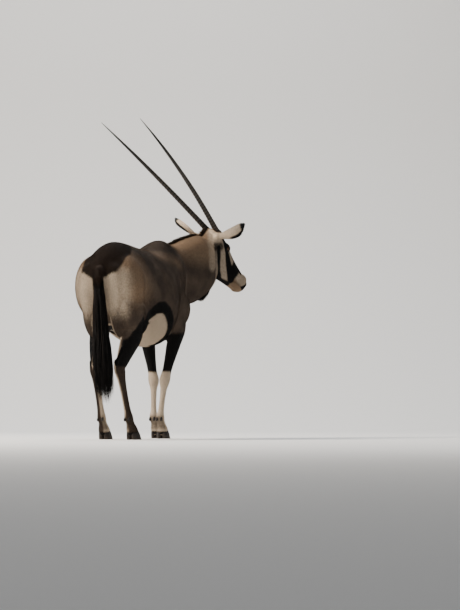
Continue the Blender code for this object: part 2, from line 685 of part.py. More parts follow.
def blade(root, way, flat, length, size, droop, segments):
    """One lock of hair: a flat, tapered blade that bends as it runs to its point."""
    width, thick = size
    rings, centre = [], root
    side = way.cross(flat).normalized()
    for k in range(segments):
        t = k / segments
        share = (1 - t) ** 0.7 * (0.72 + 0.9 * t * (1 - t) * 2)
        bend = (way + droop * t).normalized()
        normal = side.cross(bend).normalized()
        half, deep = width / 2 * share, thick / 2 * share
        rings.append([centre + side * half, centre + normal * deep, centre - side * half, centre - normal * deep])
        centre = centre + bend * length / segments
    bm = bmesh.new()
    rows = add_loft(bm, rings)
    tip = bm.verts.new(centre)
    cap = [f for f in bm.faces if all(v in rows[-1] for v in f.verts)]
    bmesh.ops.delete(bm, geom=cap, context="FACES_ONLY")
    for k in range(4):
        bm.faces.new((rows[-1][k], rows[-1][(k + 1) % 4], tip))
    bmesh.ops.recalc_face_normals(bm, faces=bm.faces[:])
    return object_of("lock", bm)


def surface_of(obj):
    return BVHTree.FromPolygons([v.co for v in obj.data.vertices], [p.vertices[:] for p in obj.data.polygons])


def mane_locks(neck, draw):
    """Short locks that stand along the crest and lie back, in two staggered rows."""
    skin, locks = surface_of(neck), []
    rows = smooth_between([(x, y, NAPE.z + 0.1) for x, y in CREST], 4)
    for i, row in enumerate(rows[:-2]):
        run = (Vector(rows[i + 1]) - Vector(row)).normalized()
        side = run.cross(Vector((0, 0, 1))).normalized()
        for lean in (-1, 1):
            start = Vector(row) + side * (lean * 0.0075) + run * draw.uniform(-0.004, 0.004)
            hit = skin.ray_cast(start, Vector((0, 0, -1)))[0]
            way = (run * 0.86 + Vector((0, 0, 0.48)) + side * lean * draw.uniform(0.05, 0.30)).normalized()
            root = hit - way * 0.012
            droop = run * 0.35 - Vector((0, 0, 0.35))
            locks.append(blade(root, way, side, draw.uniform(0.056, 0.068), MANE_LOCK, droop, 3))
    return locks


def throat_locks(neck, draw):
    """The small beard of hair that hangs where the throat meets the neck."""
    skin, locks = surface_of(neck), []
    for i in range(THROAT_LOCKS):
        share = i / (THROAT_LOCKS - 1)
        spot = Vector((0.752, -0.120, 0.70)).lerp(Vector((0.812, -0.150, 0.70)), share)
        spot += Vector((0.4, 0.9, 0)) * 0.010 * (1 if i % 2 else -1)
        hit = skin.ray_cast(spot, Vector((0, 0, 1)))[0]
        way = Vector((0.10 - 0.25 * share, -0.05 * share, -1)).normalized()
        length = 0.024 + 0.011 * math.sin(math.pi * share) + draw.uniform(0, 0.006)
        droop = Vector((-0.35, 0.1, -0.1))
        locks.append(blade(hit - way * 0.010, way, Vector((0.5, 0.9, 0)), length, THROAT_LOCK, droop, 3))
    return locks


def tail(draw):
    """The dock with its long horse-like tuft, lock by lock, over a core that ends half way down."""
    rows = [(*centre, half) for centre, half in TAIL]
    fine = smooth_between(rows, 3)
    rings = []
    for i, (x, y, z, half) in enumerate(fine):
        before, after = fine[max(i - 1, 0)], fine[min(i + 1, len(fine) - 1)]
        run = (Vector(after[:3]) - Vector(before[:3])).normalized()
        side = Vector((0, 1, 0))
        ahead = side.cross(run).normalized()
        rings.append(oval(Vector((x, y, z)), side, ahead, half, half * 0.9, half * 0.9, 2.0, 12))
    bm = bmesh.new()
    add_loft(bm, rings)
    dock = object_of("tail", bm)
    locks = []
    for tier, (height, count, shortest, longest) in enumerate(TAIL_TIERS):
        row = min(fine, key=lambda r: abs(r[2] - height))
        for k in range(count):
            angle = math.tau * (k + 0.5 * (tier % 2)) / count + draw.uniform(-0.12, 0.12)
            out = Vector((math.cos(angle) * 0.75, math.sin(angle), 0))
            start = Vector(row[:3]) + out * row[3] * 0.55 + Vector((0, 0, draw.uniform(-0.015, 0.015)))
            way = (Vector((-0.02, -0.05, -1)) + out * draw.uniform(0.15, 0.25)).normalized()
            droop = -out * 0.20 + Vector((0, 0, -0.05))
            locks.append(blade(start, way, out.normalized(), draw.uniform(shortest, longest), TAIL_LOCK, droop, 4))
    return fuse_all(dock, locks)


def material(name, colour, roughness):
    made = bpy.data.materials.new(name)
    made.use_nodes = True
    shader = made.node_tree.nodes["Principled BSDF"]
    shader.inputs["Base Color"].default_value = (*colour, 1)
    shader.inputs["Roughness"].default_value = roughness
    made.diffuse_color = (*colour, 1)
    return made


def finish(nodes):
    finishes = {
        "grey_coat": material("grey_coat", (0.30, 0.25, 0.21), 0.85),
        "pale_coat": material("pale_coat", (0.70, 0.62, 0.52), 0.85),
        "dark_hair": material("dark_hair", (0.020, 0.017, 0.015), 0.70),
        "horn": material("horn", (0.060, 0.048, 0.038), 0.50),
        "hoof": material("hoof", (0.035, 0.030, 0.027), 0.45),
        "eye": material("eye", (0.020, 0.012, 0.008), 0.08),
    }
    starts = {"horn": "horn", "hoof": "hoof", "dewclaw": "hoof", "eye": "eye", "tail": "dark_hair",
              "shank": "pale_coat", "ear": "pale_coat"}
    for obj in nodes:
        slot = next((s for start, s in starts.items() if obj.name.startswith(start)), "grey_coat")
        obj.data.materials.clear()
        obj.data.materials.append(finishes[slot])
        for polygon in obj.data.polygons:
            polygon.material_index = 0
        obj.data.shade_smooth()
        obj.data.set_sharp_from_angle(angle=math.radians(50))


def stand_at_origin(nodes):
    """Moves the animal so that the middle of its footprint, seen from above, is the origin."""
    points = [vertex.co for obj in nodes for vertex in obj.data.vertices]
    low = [min(p[i] for p in points) for i in range(3)]
    high = [max(p[i] for p in points) for i in range(3)]
    shift = Matrix.Translation((-(low[0] + high[0]) / 2, -(low[1] + high[1]) / 2, -low[2]))
    for obj in nodes:
        obj.data.transform(shift)


def main():
    for obj in list(bpy.data.objects):
        bpy.data.objects.remove(obj)
    draw = random.Random(7)
    torso = thin_out(flesh(), TORSO_TRIANGLES)
    head = thin_out(head_flesh(), HEAD_TRIANGLES)

    # The head joins the neck behind the ears, and the neck joins the trunk from withers to breast.
    nape_cut = Matrix.Translation(NAPE) @ Matrix.Rotation(HEAD_TURN, 4, "Z")
    nape_cut = nape_cut @ leaning((NAPE_CUT[0], 0, 0), NAPE_CUT[1])
    behind = block("behind", nape_cut, (-CUT, -CUT, -CUT), (0, CUT, CUT))
    ahead = block("ahead", nape_cut, (-GAP, -CUT, -CUT), (CUT, CUT, CUT))
    boolean(head, behind, "DIFFERENCE")
    boolean(torso, ahead, "DIFFERENCE")
    discard(behind, ahead)
    keep_largest(head)
    neck = part_off(torso, "neck", leaning(*NECK_CUT), (0, -CUT, -CUT), (CUT, CUT, CUT))

    # Each leg is parted below the flank or the breast, and again at the knee or the hock.
    legs, nodes, level = [], [], Matrix.Identity(4)
    for side in ("right", "left"):
        low, high = (-0.5, -GAP / 2) if side == "right" else (GAP / 2, 0.5)
        shank = part_off(torso, "shank_hind_" + side, level, (-0.8, low, -0.1), (-0.1, high, HOCK_CUT))
        thigh = part_off(torso, "thigh_" + side, leaning(*THIGH_CUT), (-0.75, low, -0.9), (0.03, high, 0))
        legs.append(("hind_" + side, shank, HIND_JOINTS[side]))
        inside = FORELEG_INSIDE[side]
        low, high = (-0.3, inside) if side == "right" else (inside, 0.3)
        forearm = part_off(torso, "forearm_" + side, level, (0.15, low, -0.1), (0.62, high, ELBOW_CUT))
        shank_fore = part_off(forearm, "shank_fore_" + side, level, (-1, -1, -1), (1, 1, KNEE_CUT))
        legs.append(("fore_" + side, shank_fore, FORE_JOINTS[side]))
        nodes += [thigh, shank, forearm, shank_fore]
    nodes += feet(legs)

    carve_face(head)
    for side in ("right", "left"):
        for made in (eye(side), horn(side), ear(side)):
            seat(head, made)
            nodes.append(made)
        seat(neck, nodes[-1])

    fuse_all(neck, mane_locks(neck, draw) + throat_locks(neck, draw))
    trail = tail(draw)
    for obj in (torso, *(obj for obj in nodes if obj.name.startswith("thigh"))):
        seat(obj, trail)
    nodes += [torso, neck, head, trail]
    stand_at_origin(nodes)
    finish(nodes)


main()
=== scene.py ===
# The looks of a life-size gemsbok (Oryx gazella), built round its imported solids.
# Metres. +X is the way the trunk faces, +Y is the animal's left, +Z is up, and the hooves stand on z = 0.
# Each section is one part of the animal, in the order in which they are put together.

import math

import bmesh
import bpy
import numpy as np
from mathutils import Matrix, Vector
from mathutils.bvhtree import BVHTree


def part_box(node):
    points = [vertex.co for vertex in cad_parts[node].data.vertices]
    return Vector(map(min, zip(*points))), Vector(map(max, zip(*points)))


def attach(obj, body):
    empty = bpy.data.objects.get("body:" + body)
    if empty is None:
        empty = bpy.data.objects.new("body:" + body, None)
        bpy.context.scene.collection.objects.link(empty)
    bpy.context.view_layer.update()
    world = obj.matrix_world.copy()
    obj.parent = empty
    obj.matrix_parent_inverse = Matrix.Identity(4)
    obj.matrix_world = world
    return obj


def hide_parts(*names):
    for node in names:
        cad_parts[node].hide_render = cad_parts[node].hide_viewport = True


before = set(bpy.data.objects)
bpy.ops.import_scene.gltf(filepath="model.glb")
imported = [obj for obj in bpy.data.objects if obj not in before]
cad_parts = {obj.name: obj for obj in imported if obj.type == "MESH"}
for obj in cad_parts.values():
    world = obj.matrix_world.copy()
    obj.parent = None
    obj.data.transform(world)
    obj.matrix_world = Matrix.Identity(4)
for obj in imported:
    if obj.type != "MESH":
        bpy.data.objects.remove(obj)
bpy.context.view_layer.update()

# Trunk, neck and legs. Bone and muscle under a thin hide: lofts through a few cross-sections and the
# larger muscle masses, fused into one skin and eased where they meet.

WITHERS = 1.220
CROUP = 1.175
NAPE = Vector((0.8365, -0.147, 1.265))
HEAD_TURN = math.radians(-25.5)
HEAD_PITCH = math.radians(45)
HEADING = Matrix.Rotation(HEAD_TURN, 4, "Z")
HEAD = Matrix.Translation(NAPE) @ HEADING @ Matrix.Rotation(HEAD_PITCH, 4, "Y")

TRUNK = [  # x, top, bottom, half width
    (-0.585, 0.985, 0.900, 0.035), (-0.555, 1.050, 0.830, 0.085), (-0.500, 1.108, 0.770, 0.130),
    (-0.430, 1.152, 0.715, 0.165), (-0.340, CROUP, 0.675, 0.190), (-0.230, 1.173, 0.635, 0.200),
    (-0.110, 1.162, 0.595, 0.212), (0.000, 1.153, 0.568, 0.222), (0.100, 1.150, 0.556, 0.224),
    (0.180, 1.164, 0.558, 0.210), (0.255, 1.196, 0.570, 0.186), (0.345, WITHERS, 0.588, 0.160),
    (0.430, WITHERS - 0.008, 0.615, 0.138), (0.510, 1.170, 0.670, 0.114), (0.565, 1.050, 0.735, 0.085),
    (0.590, 0.960, 0.800, 0.045),
]
TRUNK_LEVEL = 0.46  # where the trunk is widest, as a share of its height
NECK = [  # centre, turn and rise in degrees, half height up, half height down, half width
    (0.340, 0.000, 0.965, 0, 20, 0.205, 0.205, 0.135),
    (0.455, -0.012, 1.010, -5, 22, 0.190, 0.220, 0.126),
    (0.560, -0.044, 1.045, -12, 22, 0.172, 0.240, 0.113),
    (0.650, -0.078, 1.075, -19, 22, 0.172, 0.234, 0.101),
    (0.730, -0.110, 1.105, -23, 22, 0.166, 0.214, 0.091),
    (0.790, -0.132, 1.140, -25, 26, 0.145, 0.182, 0.080),
    (0.845, -0.150, 1.170, -25, 30, 0.095, 0.115, 0.064),
]
MUSCLES = [  # centre, radii, lean in degrees
    ((-0.385, 0.110, 0.900), (0.165, 0.098, 0.190), -8),   # haunch
    ((-0.510, 0.080, 0.870), (0.072, 0.068, 0.170), -6),   # buttock
    ((-0.462, 0.086, 0.735), (0.078, 0.050, 0.150), -18),  # hamstring
    ((-0.240, 0.092, 1.050), (0.100, 0.066, 0.066), 0),    # hip
    ((0.360, 0.086, 0.935), (0.135, 0.078, 0.225), 24),    # shoulder blade
    ((0.432, 0.100, 0.795), (0.125, 0.072, 0.115), -40),   # upper arm
    ((0.335, 0.114, 0.765), (0.130, 0.062, 0.130), -20),   # back of the upper arm
    ((-0.268, 0.130, 0.722), (0.098, 0.056, 0.110), -15),  # stifle
]
FORE_LEGS = {  # joints from the shoulder to the foot
    "right": [(0.395, -0.125, 0.800), (0.318, -0.136, 0.650), (0.234, -0.094, 0.358),
              (0.219, -0.071, 0.132), (0.255, -0.069, 0.062), (0.274, -0.068, 0.030)],
    "left": [(0.455, 0.112, 0.800), (0.432, 0.108, 0.650), (0.446, 0.066, 0.358),
             (0.416, 0.054, 0.132), (0.452, 0.053, 0.062), (0.471, 0.052, 0.030)],
}
HIND_LEGS = {  # joints from the hip to the foot
    "right": [(-0.385, -0.115, 0.900), (-0.378, -0.134, 0.760), (-0.378, -0.140, 0.630),
              (-0.494, -0.106, 0.418), (-0.450, -0.146, 0.132), (-0.412, -0.150, 0.062),
              (-0.393, -0.151, 0.030)],
    "left": [(-0.385, 0.096, 0.900), (-0.352, 0.088, 0.760), (-0.336, 0.092, 0.630),
             (-0.425, 0.080, 0.418), (-0.306, 0.090, 0.132), (-0.268, 0.091, 0.062),
             (-0.249, 0.091, 0.030)],
}
FORE_SECTIONS = [  # segment between joints, share along it, half depth, half width
    (0, 0.00, 0.070, 0.040), (0, 0.60, 0.085, 0.048), (1, 0.00, 0.076, 0.046), (1, 0.25, 0.056, 0.041),
    (1, 0.55, 0.038, 0.033), (1, 0.80, 0.030, 0.028), (1, 0.92, 0.033, 0.0315), (2, 0.00, 0.035, 0.0335),
    (2, 0.12, 0.032, 0.0280), (2, 0.25, 0.0232, 0.0210), (2, 0.55, 0.0205, 0.0172), (2, 0.82, 0.0208, 0.0190),
    (3, 0.00, 0.029, 0.0258), (3, 0.50, 0.0230, 0.0248), (4, 0.00, 0.033, 0.0330), (4, 0.85, 0.035, 0.0340),
]
HIND_SECTIONS = [
    (0, 0.00, 0.130, 0.050), (0, 0.60, 0.150, 0.060), (1, 0.00, 0.146, 0.064), (1, 0.50, 0.125, 0.060),
    (2, 0.00, 0.098, 0.052), (2, 0.30, 0.078, 0.048), (2, 0.58, 0.059, 0.041), (2, 0.82, 0.046, 0.033),
    (3, -0.04, 0.043, 0.030), (3, 0.06, 0.041, 0.031), (3, 0.18, 0.031, 0.026), (3, 0.33, 0.0245, 0.0225),
    (3, 0.60, 0.0220, 0.0198), (3, 0.84, 0.0225, 0.0208), (4, 0.00, 0.030, 0.0260), (4, 0.50, 0.0235, 0.0250),
    (5, 0.00, 0.034, 0.0335), (5, 0.85, 0.036, 0.0345),
]
HEEL = Vector((-0.050, 0, 0.034))  # from the hock's joint
HEEL_BONE = (0.017, 0.015, 0.022)
HOCK_BONE = (0.030, 0.021, 0.026)
TRUNK_FUSE = (0.009, 26)           # voxel, rounds of easing
BODY_FUSE = (0.0055, 7)


def smooth_between(rows, steps):
    """Rows of numbers read more finely along Catmull-Rom curves through them."""
    fine = []
    for i in range(len(rows) - 1):
        before, here = rows[max(i - 1, 0)], rows[i]
        there, after = rows[i + 1], rows[min(i + 2, len(rows) - 1)]
        for k in range(steps):
            t = k / steps
            fine.append(tuple(
                0.5 * (2 * b + (c - a) * t + (2 * a - 5 * b + 4 * c - d) * t * t
                       + (3 * b - a - 3 * c + d) * t ** 3)
                for a, b, c, d in zip(before, here, there, after)
            ))
    fine.append(tuple(rows[-1]))
    return fine


def oval(centre, side, rise, half_width, half_up, half_down, power, count, power_up=None):
    """Points of a rounded section about a centre. A power of 2 is an ellipse, and more is squarer."""
    points = []
    for k in range(count):
        c, s = math.cos(math.tau * k / count), math.sin(math.tau * k / count)
        p = power_up if power_up and s > 0 else power
        across = math.copysign(abs(c) ** (2 / p), c) * half_width
        up = math.copysign(abs(s) ** (2 / p), s) * (half_up if s > 0 else half_down)
        points.append(centre + side * across + rise * up)
    return points


def add_loft(bm, rings):
    """A closed skin through rings of the same number of points."""
    rows = [[bm.verts.new(p) for p in ring] for ring in rings]
    count = len(rows[0])
    faces = [bm.faces.new(rows[0]), bm.faces.new(rows[-1])]
    for low, high in zip(rows, rows[1:]):
        for k in range(count):
            faces.append(bm.faces.new((low[k], low[(k + 1) % count], high[(k + 1) % count], high[k])))
    bmesh.ops.recalc_face_normals(bm, faces=faces)


def add_ellipsoid(bm, centre, radii, turn=None, detail=3):
    """A rounded mass about a centre. A turn may also carry the place, with the centre at zero."""
    made = bmesh.ops.create_icosphere(bm, subdivisions=detail, radius=1.0)
    place = Matrix.Translation(Vector(centre)) @ (turn or Matrix.Identity(4)) @ Matrix.Diagonal((*radii, 1.0))
    bmesh.ops.transform(bm, matrix=place, verts=made["verts"])


def object_of(name, bm):
    """An object made from a mesh in hand, which is used up."""
    bmesh.ops.triangulate(bm, faces=bm.faces[:])
    mesh = bpy.data.meshes.new(name)
    bm.to_mesh(mesh)
    bm.free()
    obj = bpy.data.objects.new(name, mesh)
    bpy.context.scene.collection.objects.link(obj)
    return obj


def settle(obj):
    """Turns an object's modifiers into its mesh."""
    bpy.context.view_layer.update()
    mesh = bpy.data.meshes.new_from_object(obj.evaluated_get(bpy.context.evaluated_depsgraph_get()))
    obj.modifiers.clear()
    old = obj.data
    obj.data = mesh
    bpy.data.meshes.remove(old)
    return obj


def fuse_soft(obj, voxel, rounds):
    """Fuses crossing closed shapes into one skin, and eases the creases where they meet."""
    fuse = obj.modifiers.new("fuse", "REMESH")
    fuse.mode = "VOXEL"
    fuse.voxel_size = voxel
    ease = obj.modifiers.new("ease", "SMOOTH")
    ease.factor = 0.5
    ease.iterations = rounds
    return settle(obj)


def neck_rings():
    """Rings up the neck, each across its own rise and turn."""
    rings = []
    for x, y, z, turn, rise, up, down, half in smooth_between(NECK, 4):
        lie = Matrix.Rotation(math.radians(turn), 3, "Z") @ Matrix.Rotation(math.radians(-rise), 3, "Y")
        rings.append(oval(Vector((x, y, z)), lie @ Vector((0, 1, 0)), lie @ Vector((0, 0, 1)),
                          half, up, down, 2.0, 40))
    return rings


def leg_rings(joints, sections):
    """Rings down a leg. Each lies across the leg's run there, with its depth fore and aft."""
    points, rows = [Vector(p) for p in joints], []
    for segment, share, depth, width in sections:
        start, end = points[segment], points[segment + 1]
        rows.append((*(start + (end - start) * share), depth, width))
    fine, rings = smooth_between(rows, 4), []
    for i, (x, y, z, depth, width) in enumerate(fine):
        run = Vector(fine[min(i + 1, len(fine) - 1)][:3]) - Vector(fine[max(i - 1, 0)][:3])
        ahead = Vector((0, 1, 0)).cross(run.normalized()).normalized()
        side = run.normalized().cross(ahead).normalized()
        rings.append(oval(Vector((x, y, z)), side, ahead, width, depth, depth, 2.0, 24))
    return rings


def add_hock(bm, joints):
    """The heel bone behind the hock and the tendon that runs up from it."""
    stifle, hock = Vector(joints[2]), Vector(joints[3])
    heel = hock + HEEL
    add_ellipsoid(bm, heel, HEEL_BONE)
    tendon_top = hock + (stifle - hock).normalized() * 0.13 + Vector((-0.048, 0, 0))
    rows = [(*heel, 0.014), (*heel.lerp(tendon_top, 0.35), 0.012), (*tendon_top, 0.022)]
    run, side, rings = (tendon_top - heel).normalized(), Vector((0, 1, 0)), []
    for x, y, z, half in smooth_between(rows, 4):
        rings.append(oval(Vector((x, y, z)), side, run.cross(side), half, half * 1.3, half * 1.3, 2.0, 12))
    add_loft(bm, rings)
    add_ellipsoid(bm, hock.lerp(heel, 0.45), HOCK_BONE)


trunk = bmesh.new()
trunk_rings = []
for x, top, bottom, half in smooth_between(TRUNK, 4):
    level = bottom + TRUNK_LEVEL * (top - bottom)
    trunk_rings.append(oval(Vector((x, 0, level)), Vector((0, 1, 0)), Vector((0, 0, 1)),
                            half, top - level, level - bottom, 2.1, 48, 1.8 if x < 0 else 2.0))
add_loft(trunk, trunk_rings)
for centre, radii, lean in MUSCLES:
    for side in (1, -1):
        add_ellipsoid(trunk, (centre[0], centre[1] * side, centre[2]), radii,
                      Matrix.Rotation(math.radians(lean), 4, "Y"))
add_loft(trunk, neck_rings())
hide = fuse_soft(object_of("hide", trunk), *TRUNK_FUSE)
whole = bmesh.new()
whole.from_mesh(hide.data)
bpy.data.objects.remove(hide)
for side in ("right", "left"):
    add_loft(whole, leg_rings(FORE_LEGS[side], FORE_SECTIONS))
    add_loft(whole, leg_rings(HIND_LEGS[side], HIND_SECTIONS))
    add_hock(whole, HIND_LEGS[side])
hide = fuse_soft(object_of("hide", whole), *BODY_FUSE)

# Head. A long wedge of bone with thin skin over it: cheeks, brows, lips and horn pedicles as masses on
# the skull's loft. Lids, nostrils and the line of the mouth are cut into it.

HEAD_LENGTH = 0.43
SKULL = [  # in the head's frame, x to the nose and z to the brow: x, top, bottom, half width
    (-0.052, 0.012, -0.100, 0.036), (-0.030, 0.040, -0.130, 0.056), (0.015, 0.058, -0.155, 0.070),
    (0.065, 0.064, -0.172, 0.074), (0.115, 0.064, -0.178, 0.070), (0.165, 0.055, -0.168, 0.060),
    (0.225, 0.043, -0.146, 0.050), (0.285, 0.036, -0.122, 0.044), (0.340, 0.032, -0.103, 0.042),
    (0.382, 0.027, -0.089, 0.045), (0.410, 0.015, -0.077, 0.042),
    (HEAD_LENGTH - 0.004, -0.004, -0.062, 0.031),
]
SKULL_LEVEL = 0.62  # where the head is widest, as a share of its depth
HORN_ROOT = Vector((0.022, 0.031, 0.046))
EYE_PLACE = Vector((0.122, 0.0600, 0.012))
EYE_RADIUS = 0.019
LID = 0.0030
LID_OPENING = (0.0180, 0.0180, 0.0122)
LID_OUT = 0.024  # from the eye's middle to the middle of the opening
LID_TILT = math.radians(-12)
NOSTRIL_PLACE = Vector((0.4175, 0.0245, 0.000))
NOSTRIL = (0.0150, 0.0065, 0.0085)
NOSTRIL_TURN = math.radians(38)
NOSTRIL_TILT = math.radians(35)
HEAD_FORMS = [  # on each side: centre, radii
    ((EYE_PLACE.x - 0.002, 0.050, EYE_PLACE.z + 0.010), (0.034, 0.026, 0.026)),  # brow
    ((0.080, 0.045, -0.090), (0.066, 0.028, 0.072)),                             # cheek
    ((0.372, 0.026, 0.007), (0.034, 0.021, 0.023)),                              # side of the nose
    ((0.398, 0.025, -0.012), (0.028, 0.021, 0.025)),                             # wing of the nostril
    ((0.382, 0.024, -0.046), (0.030, 0.021, 0.016)),                             # upper lip
    ((HORN_ROOT.x, HORN_ROOT.y, 0.040), (0.036, 0.031, 0.032)),                  # horn's pedicle
]
EAR_BASE = (0.030, 0.026, 0.028)
LOWER_LIP = ((0.378, 0, -0.074), (0.032, 0.030, 0.018))
HEAD_FUSE = (0.0026, 12)
MOUTH_LINE = [(0.306, -0.074), (0.336, -0.067), (0.366, -0.058), (0.394, -0.051), (0.412, -0.046)]
MOUTH_GROOVE = (0.0052, 0.0013)  # half depth, half height
EAR_ROOTS = {"right": (0.012, 0.065, 0.000), "left": (-0.008, 0.074, -0.020)}
NAPE_PLANE = (Matrix.Translation(NAPE) @ HEADING @ Matrix.Translation((-0.024, 0, 0))
              @ Matrix.Rotation(math.radians(-4.6), 4, "Y"))


def boolean(obj, other, operation):
    """Adds another object to one, or takes it from it, and removes the other."""
    step = obj.modifiers.new("cut", "BOOLEAN")
    step.operation = operation
    step.solver = "MANIFOLD"
    step.object = other
    settle(obj)
    bpy.data.objects.remove(other)
    return obj


def mirrored(place, sign):
    """A place on the animal's left where the sign is 1, and its like on the right where it is -1."""
    return Vector((place[0], sign * place[1], place[2]))


def surface_of(obj):
    """An object's mesh in a form that rays can be cast on."""
    return BVHTree.FromPolygons([v.co for v in obj.data.vertices], [p.vertices[:] for p in obj.data.polygons])


skull = bmesh.new()
skull_rings = []
for x, top, bottom, half in smooth_between(SKULL, 4):
    level = bottom + SKULL_LEVEL * (top - bottom)
    skull_rings.append(oval(Vector((x, 0, level)), Vector((0, 1, 0)), Vector((0, 0, 1)),
                            half, top - level, level - bottom, 2.25, 44))
add_loft(skull, skull_rings)
for sign in (1, -1):
    for centre, radii in HEAD_FORMS:
        add_ellipsoid(skull, mirrored(centre, sign), radii)
for sign, key in ((1, "left"), (-1, "right")):
    x, y, z = EAR_ROOTS[key]
    add_ellipsoid(skull, (x, sign * y * 0.9, z), EAR_BASE)
add_ellipsoid(skull, *LOWER_LIP)
add_loft(skull, [[HEAD.inverted() @ p for p in ring] for ring in neck_rings()[-15:]])
head = fuse_soft(object_of("head", skull), *HEAD_FUSE)
head_skin = surface_of(head)

lips = [head_skin.ray_cast(Vector((x, 0, z)), Vector((0, -1, 0)))[0] for x, z in MOUTH_LINE]
chin = head_skin.ray_cast(Vector((0.36, 0, -0.044)), Vector((1, 0, 0)))[0]
lips += [Vector((chin.x - 0.003, -0.016, -0.0445)), Vector((chin.x, 0, -0.044))]
lips += [Vector((p.x, -p.y, p.z)) for p in lips[-2::-1]]


def press(skin, name, radii, place, operation):
    """Adds an ellipsoid to the skin, or takes one from it."""
    bm = bmesh.new()
    add_ellipsoid(bm, (0, 0, 0), radii, place, 4)
    boolean(skin, object_of(name, bm), operation)


def carve_face(skin):
    """Lids round the eyes, nostrils and the line of the mouth."""
    for sign in (1, -1):
        place = HEAD @ Matrix.Translation(mirrored(EYE_PLACE, sign))
        look = place @ Matrix.Rotation(LID_TILT, 4, "Y") @ Matrix.Translation((0, sign * LID_OUT, 0))
        turn = Matrix.Rotation(sign * NOSTRIL_TURN, 4, "Z")
        nostril = HEAD @ Matrix.Translation(mirrored(NOSTRIL_PLACE, sign)) @ turn
        nostril = nostril @ Matrix.Rotation(NOSTRIL_TILT, 4, "Y")
        press(skin, "lid", [EYE_RADIUS + LID] * 3, place, "UNION")
        press(skin, "opening", LID_OPENING, look, "DIFFERENCE")
        press(skin, "nostril", NOSTRIL, nostril, "DIFFERENCE")
    lip_line = [Vector(p) for p in smooth_between([tuple(p) for p in lips], 5)]
    groove = []
    for i, point in enumerate(lip_line):
        run = (lip_line[min(i + 1, len(lip_line) - 1)] - lip_line[max(i - 1, 0)]).normalized()
        side = run.cross(Vector((0, 0, 1))).normalized()
        fade = math.sin(math.pi * min(1.0, (min(i, len(lip_line) - 1 - i) + 0.6) / 8) / 2)
        deep, high = MOUTH_GROOVE
        ring = oval(point, side, Vector((0, 0, 1)), deep * fade, high, high, 2.0, 10)
        groove.append([HEAD @ p for p in ring])
    bm = bmesh.new()
    add_loft(bm, groove)
    boolean(skin, object_of("mouth", bm), "DIFFERENCE")


head.data.transform(HEAD)

# Ears. Leaf-shaped cups of thin cartilage on a short stem, the right one turned back and the left one
# up. Each is a curled closed sheet, united with the head.

EAR_LENGTH = 0.200
EAR_WAYS = {"right": (0.46, 0.78, 0.42), "left": (-0.440, 0.620, 0.650)}
EAR_OPENINGS = {"right": (0.80, -0.15, -0.60), "left": (-0.15, 0.69, -0.81)}
EAR_HALF_WIDTH = 0.045
EAR_WALL = 0.0042
EAR_SWEEP = 0.030
EAR_ROWS = [  # share of the length, width, curl
    (0.00, 0.40, 0.95), (0.10, 0.47, 1.00), (0.24, 0.68, 0.86), (0.40, 0.90, 0.66), (0.56, 1.04, 0.52),
    (0.70, 1.06, 0.44), (0.82, 0.90, 0.38), (0.92, 0.52, 0.32), (0.985, 0.12, 0.30),
]
EAR_FULLNESS = {"right": 0.98, "left": 0.74}
EAR_COLUMNS = 22
EAR_CURL = math.radians(95)
EAR_STEM = (0.0185, 0.0185, 0.036)
ear_frames = {}


def in_heading(ahead, side, up):
    """A direction given by the way the head faces, level, as a vector in the world."""
    return (HEADING.to_3x3() @ Vector((ahead, side, up))).normalized()


def ear(side):
    """A curled leaf on its stem. It keeps its own frame for the markings and the hair."""
    sign = 1 if side == "left" else -1
    root = HEAD @ mirrored(EAR_ROOTS[side], sign)
    ahead, out, up = EAR_WAYS[side]
    way = in_heading(ahead, sign * out, up)
    ahead, out, up = EAR_OPENINGS[side]
    opening = in_heading(ahead, sign * out, up)
    opening = (opening - way * opening.dot(way)).normalized()
    across = way.cross(opening).normalized()
    rise = across if across.z > 0 else -across
    ear_frames[side] = (root, way, opening, across, rise)
    rings = []
    for t, wide, curl in smooth_between(EAR_ROWS, 4):
        half = EAR_HALF_WIDTH * wide
        if t > 0.2:
            half *= EAR_FULLNESS[side]
        spine = root + way * EAR_LENGTH * t - opening * 0.012 * math.sin(math.pi * t)
        spine -= rise * EAR_SWEEP * math.sin(math.pi * t ** 1.35)
        outer, inner = [], []
        spread = EAR_CURL * (0.45 + 0.55 * curl)
        reach = half / spread * 1.45
        for k in range(EAR_COLUMNS + 1):
            share = k / EAR_COLUMNS * 2 - 1
            angle = share * spread
            thick = EAR_WALL * (1 - 0.45 * t) * (1 - 0.55 * abs(share) ** 3)
            flat = across * math.sin(angle) * reach + opening * (reach * (1 - math.cos(angle)) - half * 0.35)
            outer.append(spine + flat)
            inner.append(spine + flat + (opening * math.cos(angle) - across * math.sin(angle)) * thick)
        rings.append(outer + inner[::-1])
    bm = bmesh.new()
    add_loft(bm, rings)
    leaf = object_of("ear_" + side, bm)
    bm = bmesh.new()
    turn = Matrix((across, opening, way)).transposed().to_4x4()
    add_ellipsoid(bm, root + way * 0.016 + opening * 0.002, EAR_STEM, turn, 4)
    return boolean(leaf, object_of("stem", bm), "UNION")


# Dock of the tail. Bone and muscle under short hair, one with the trunk. It runs from the croup down
# into the tuft and carries the long hair.

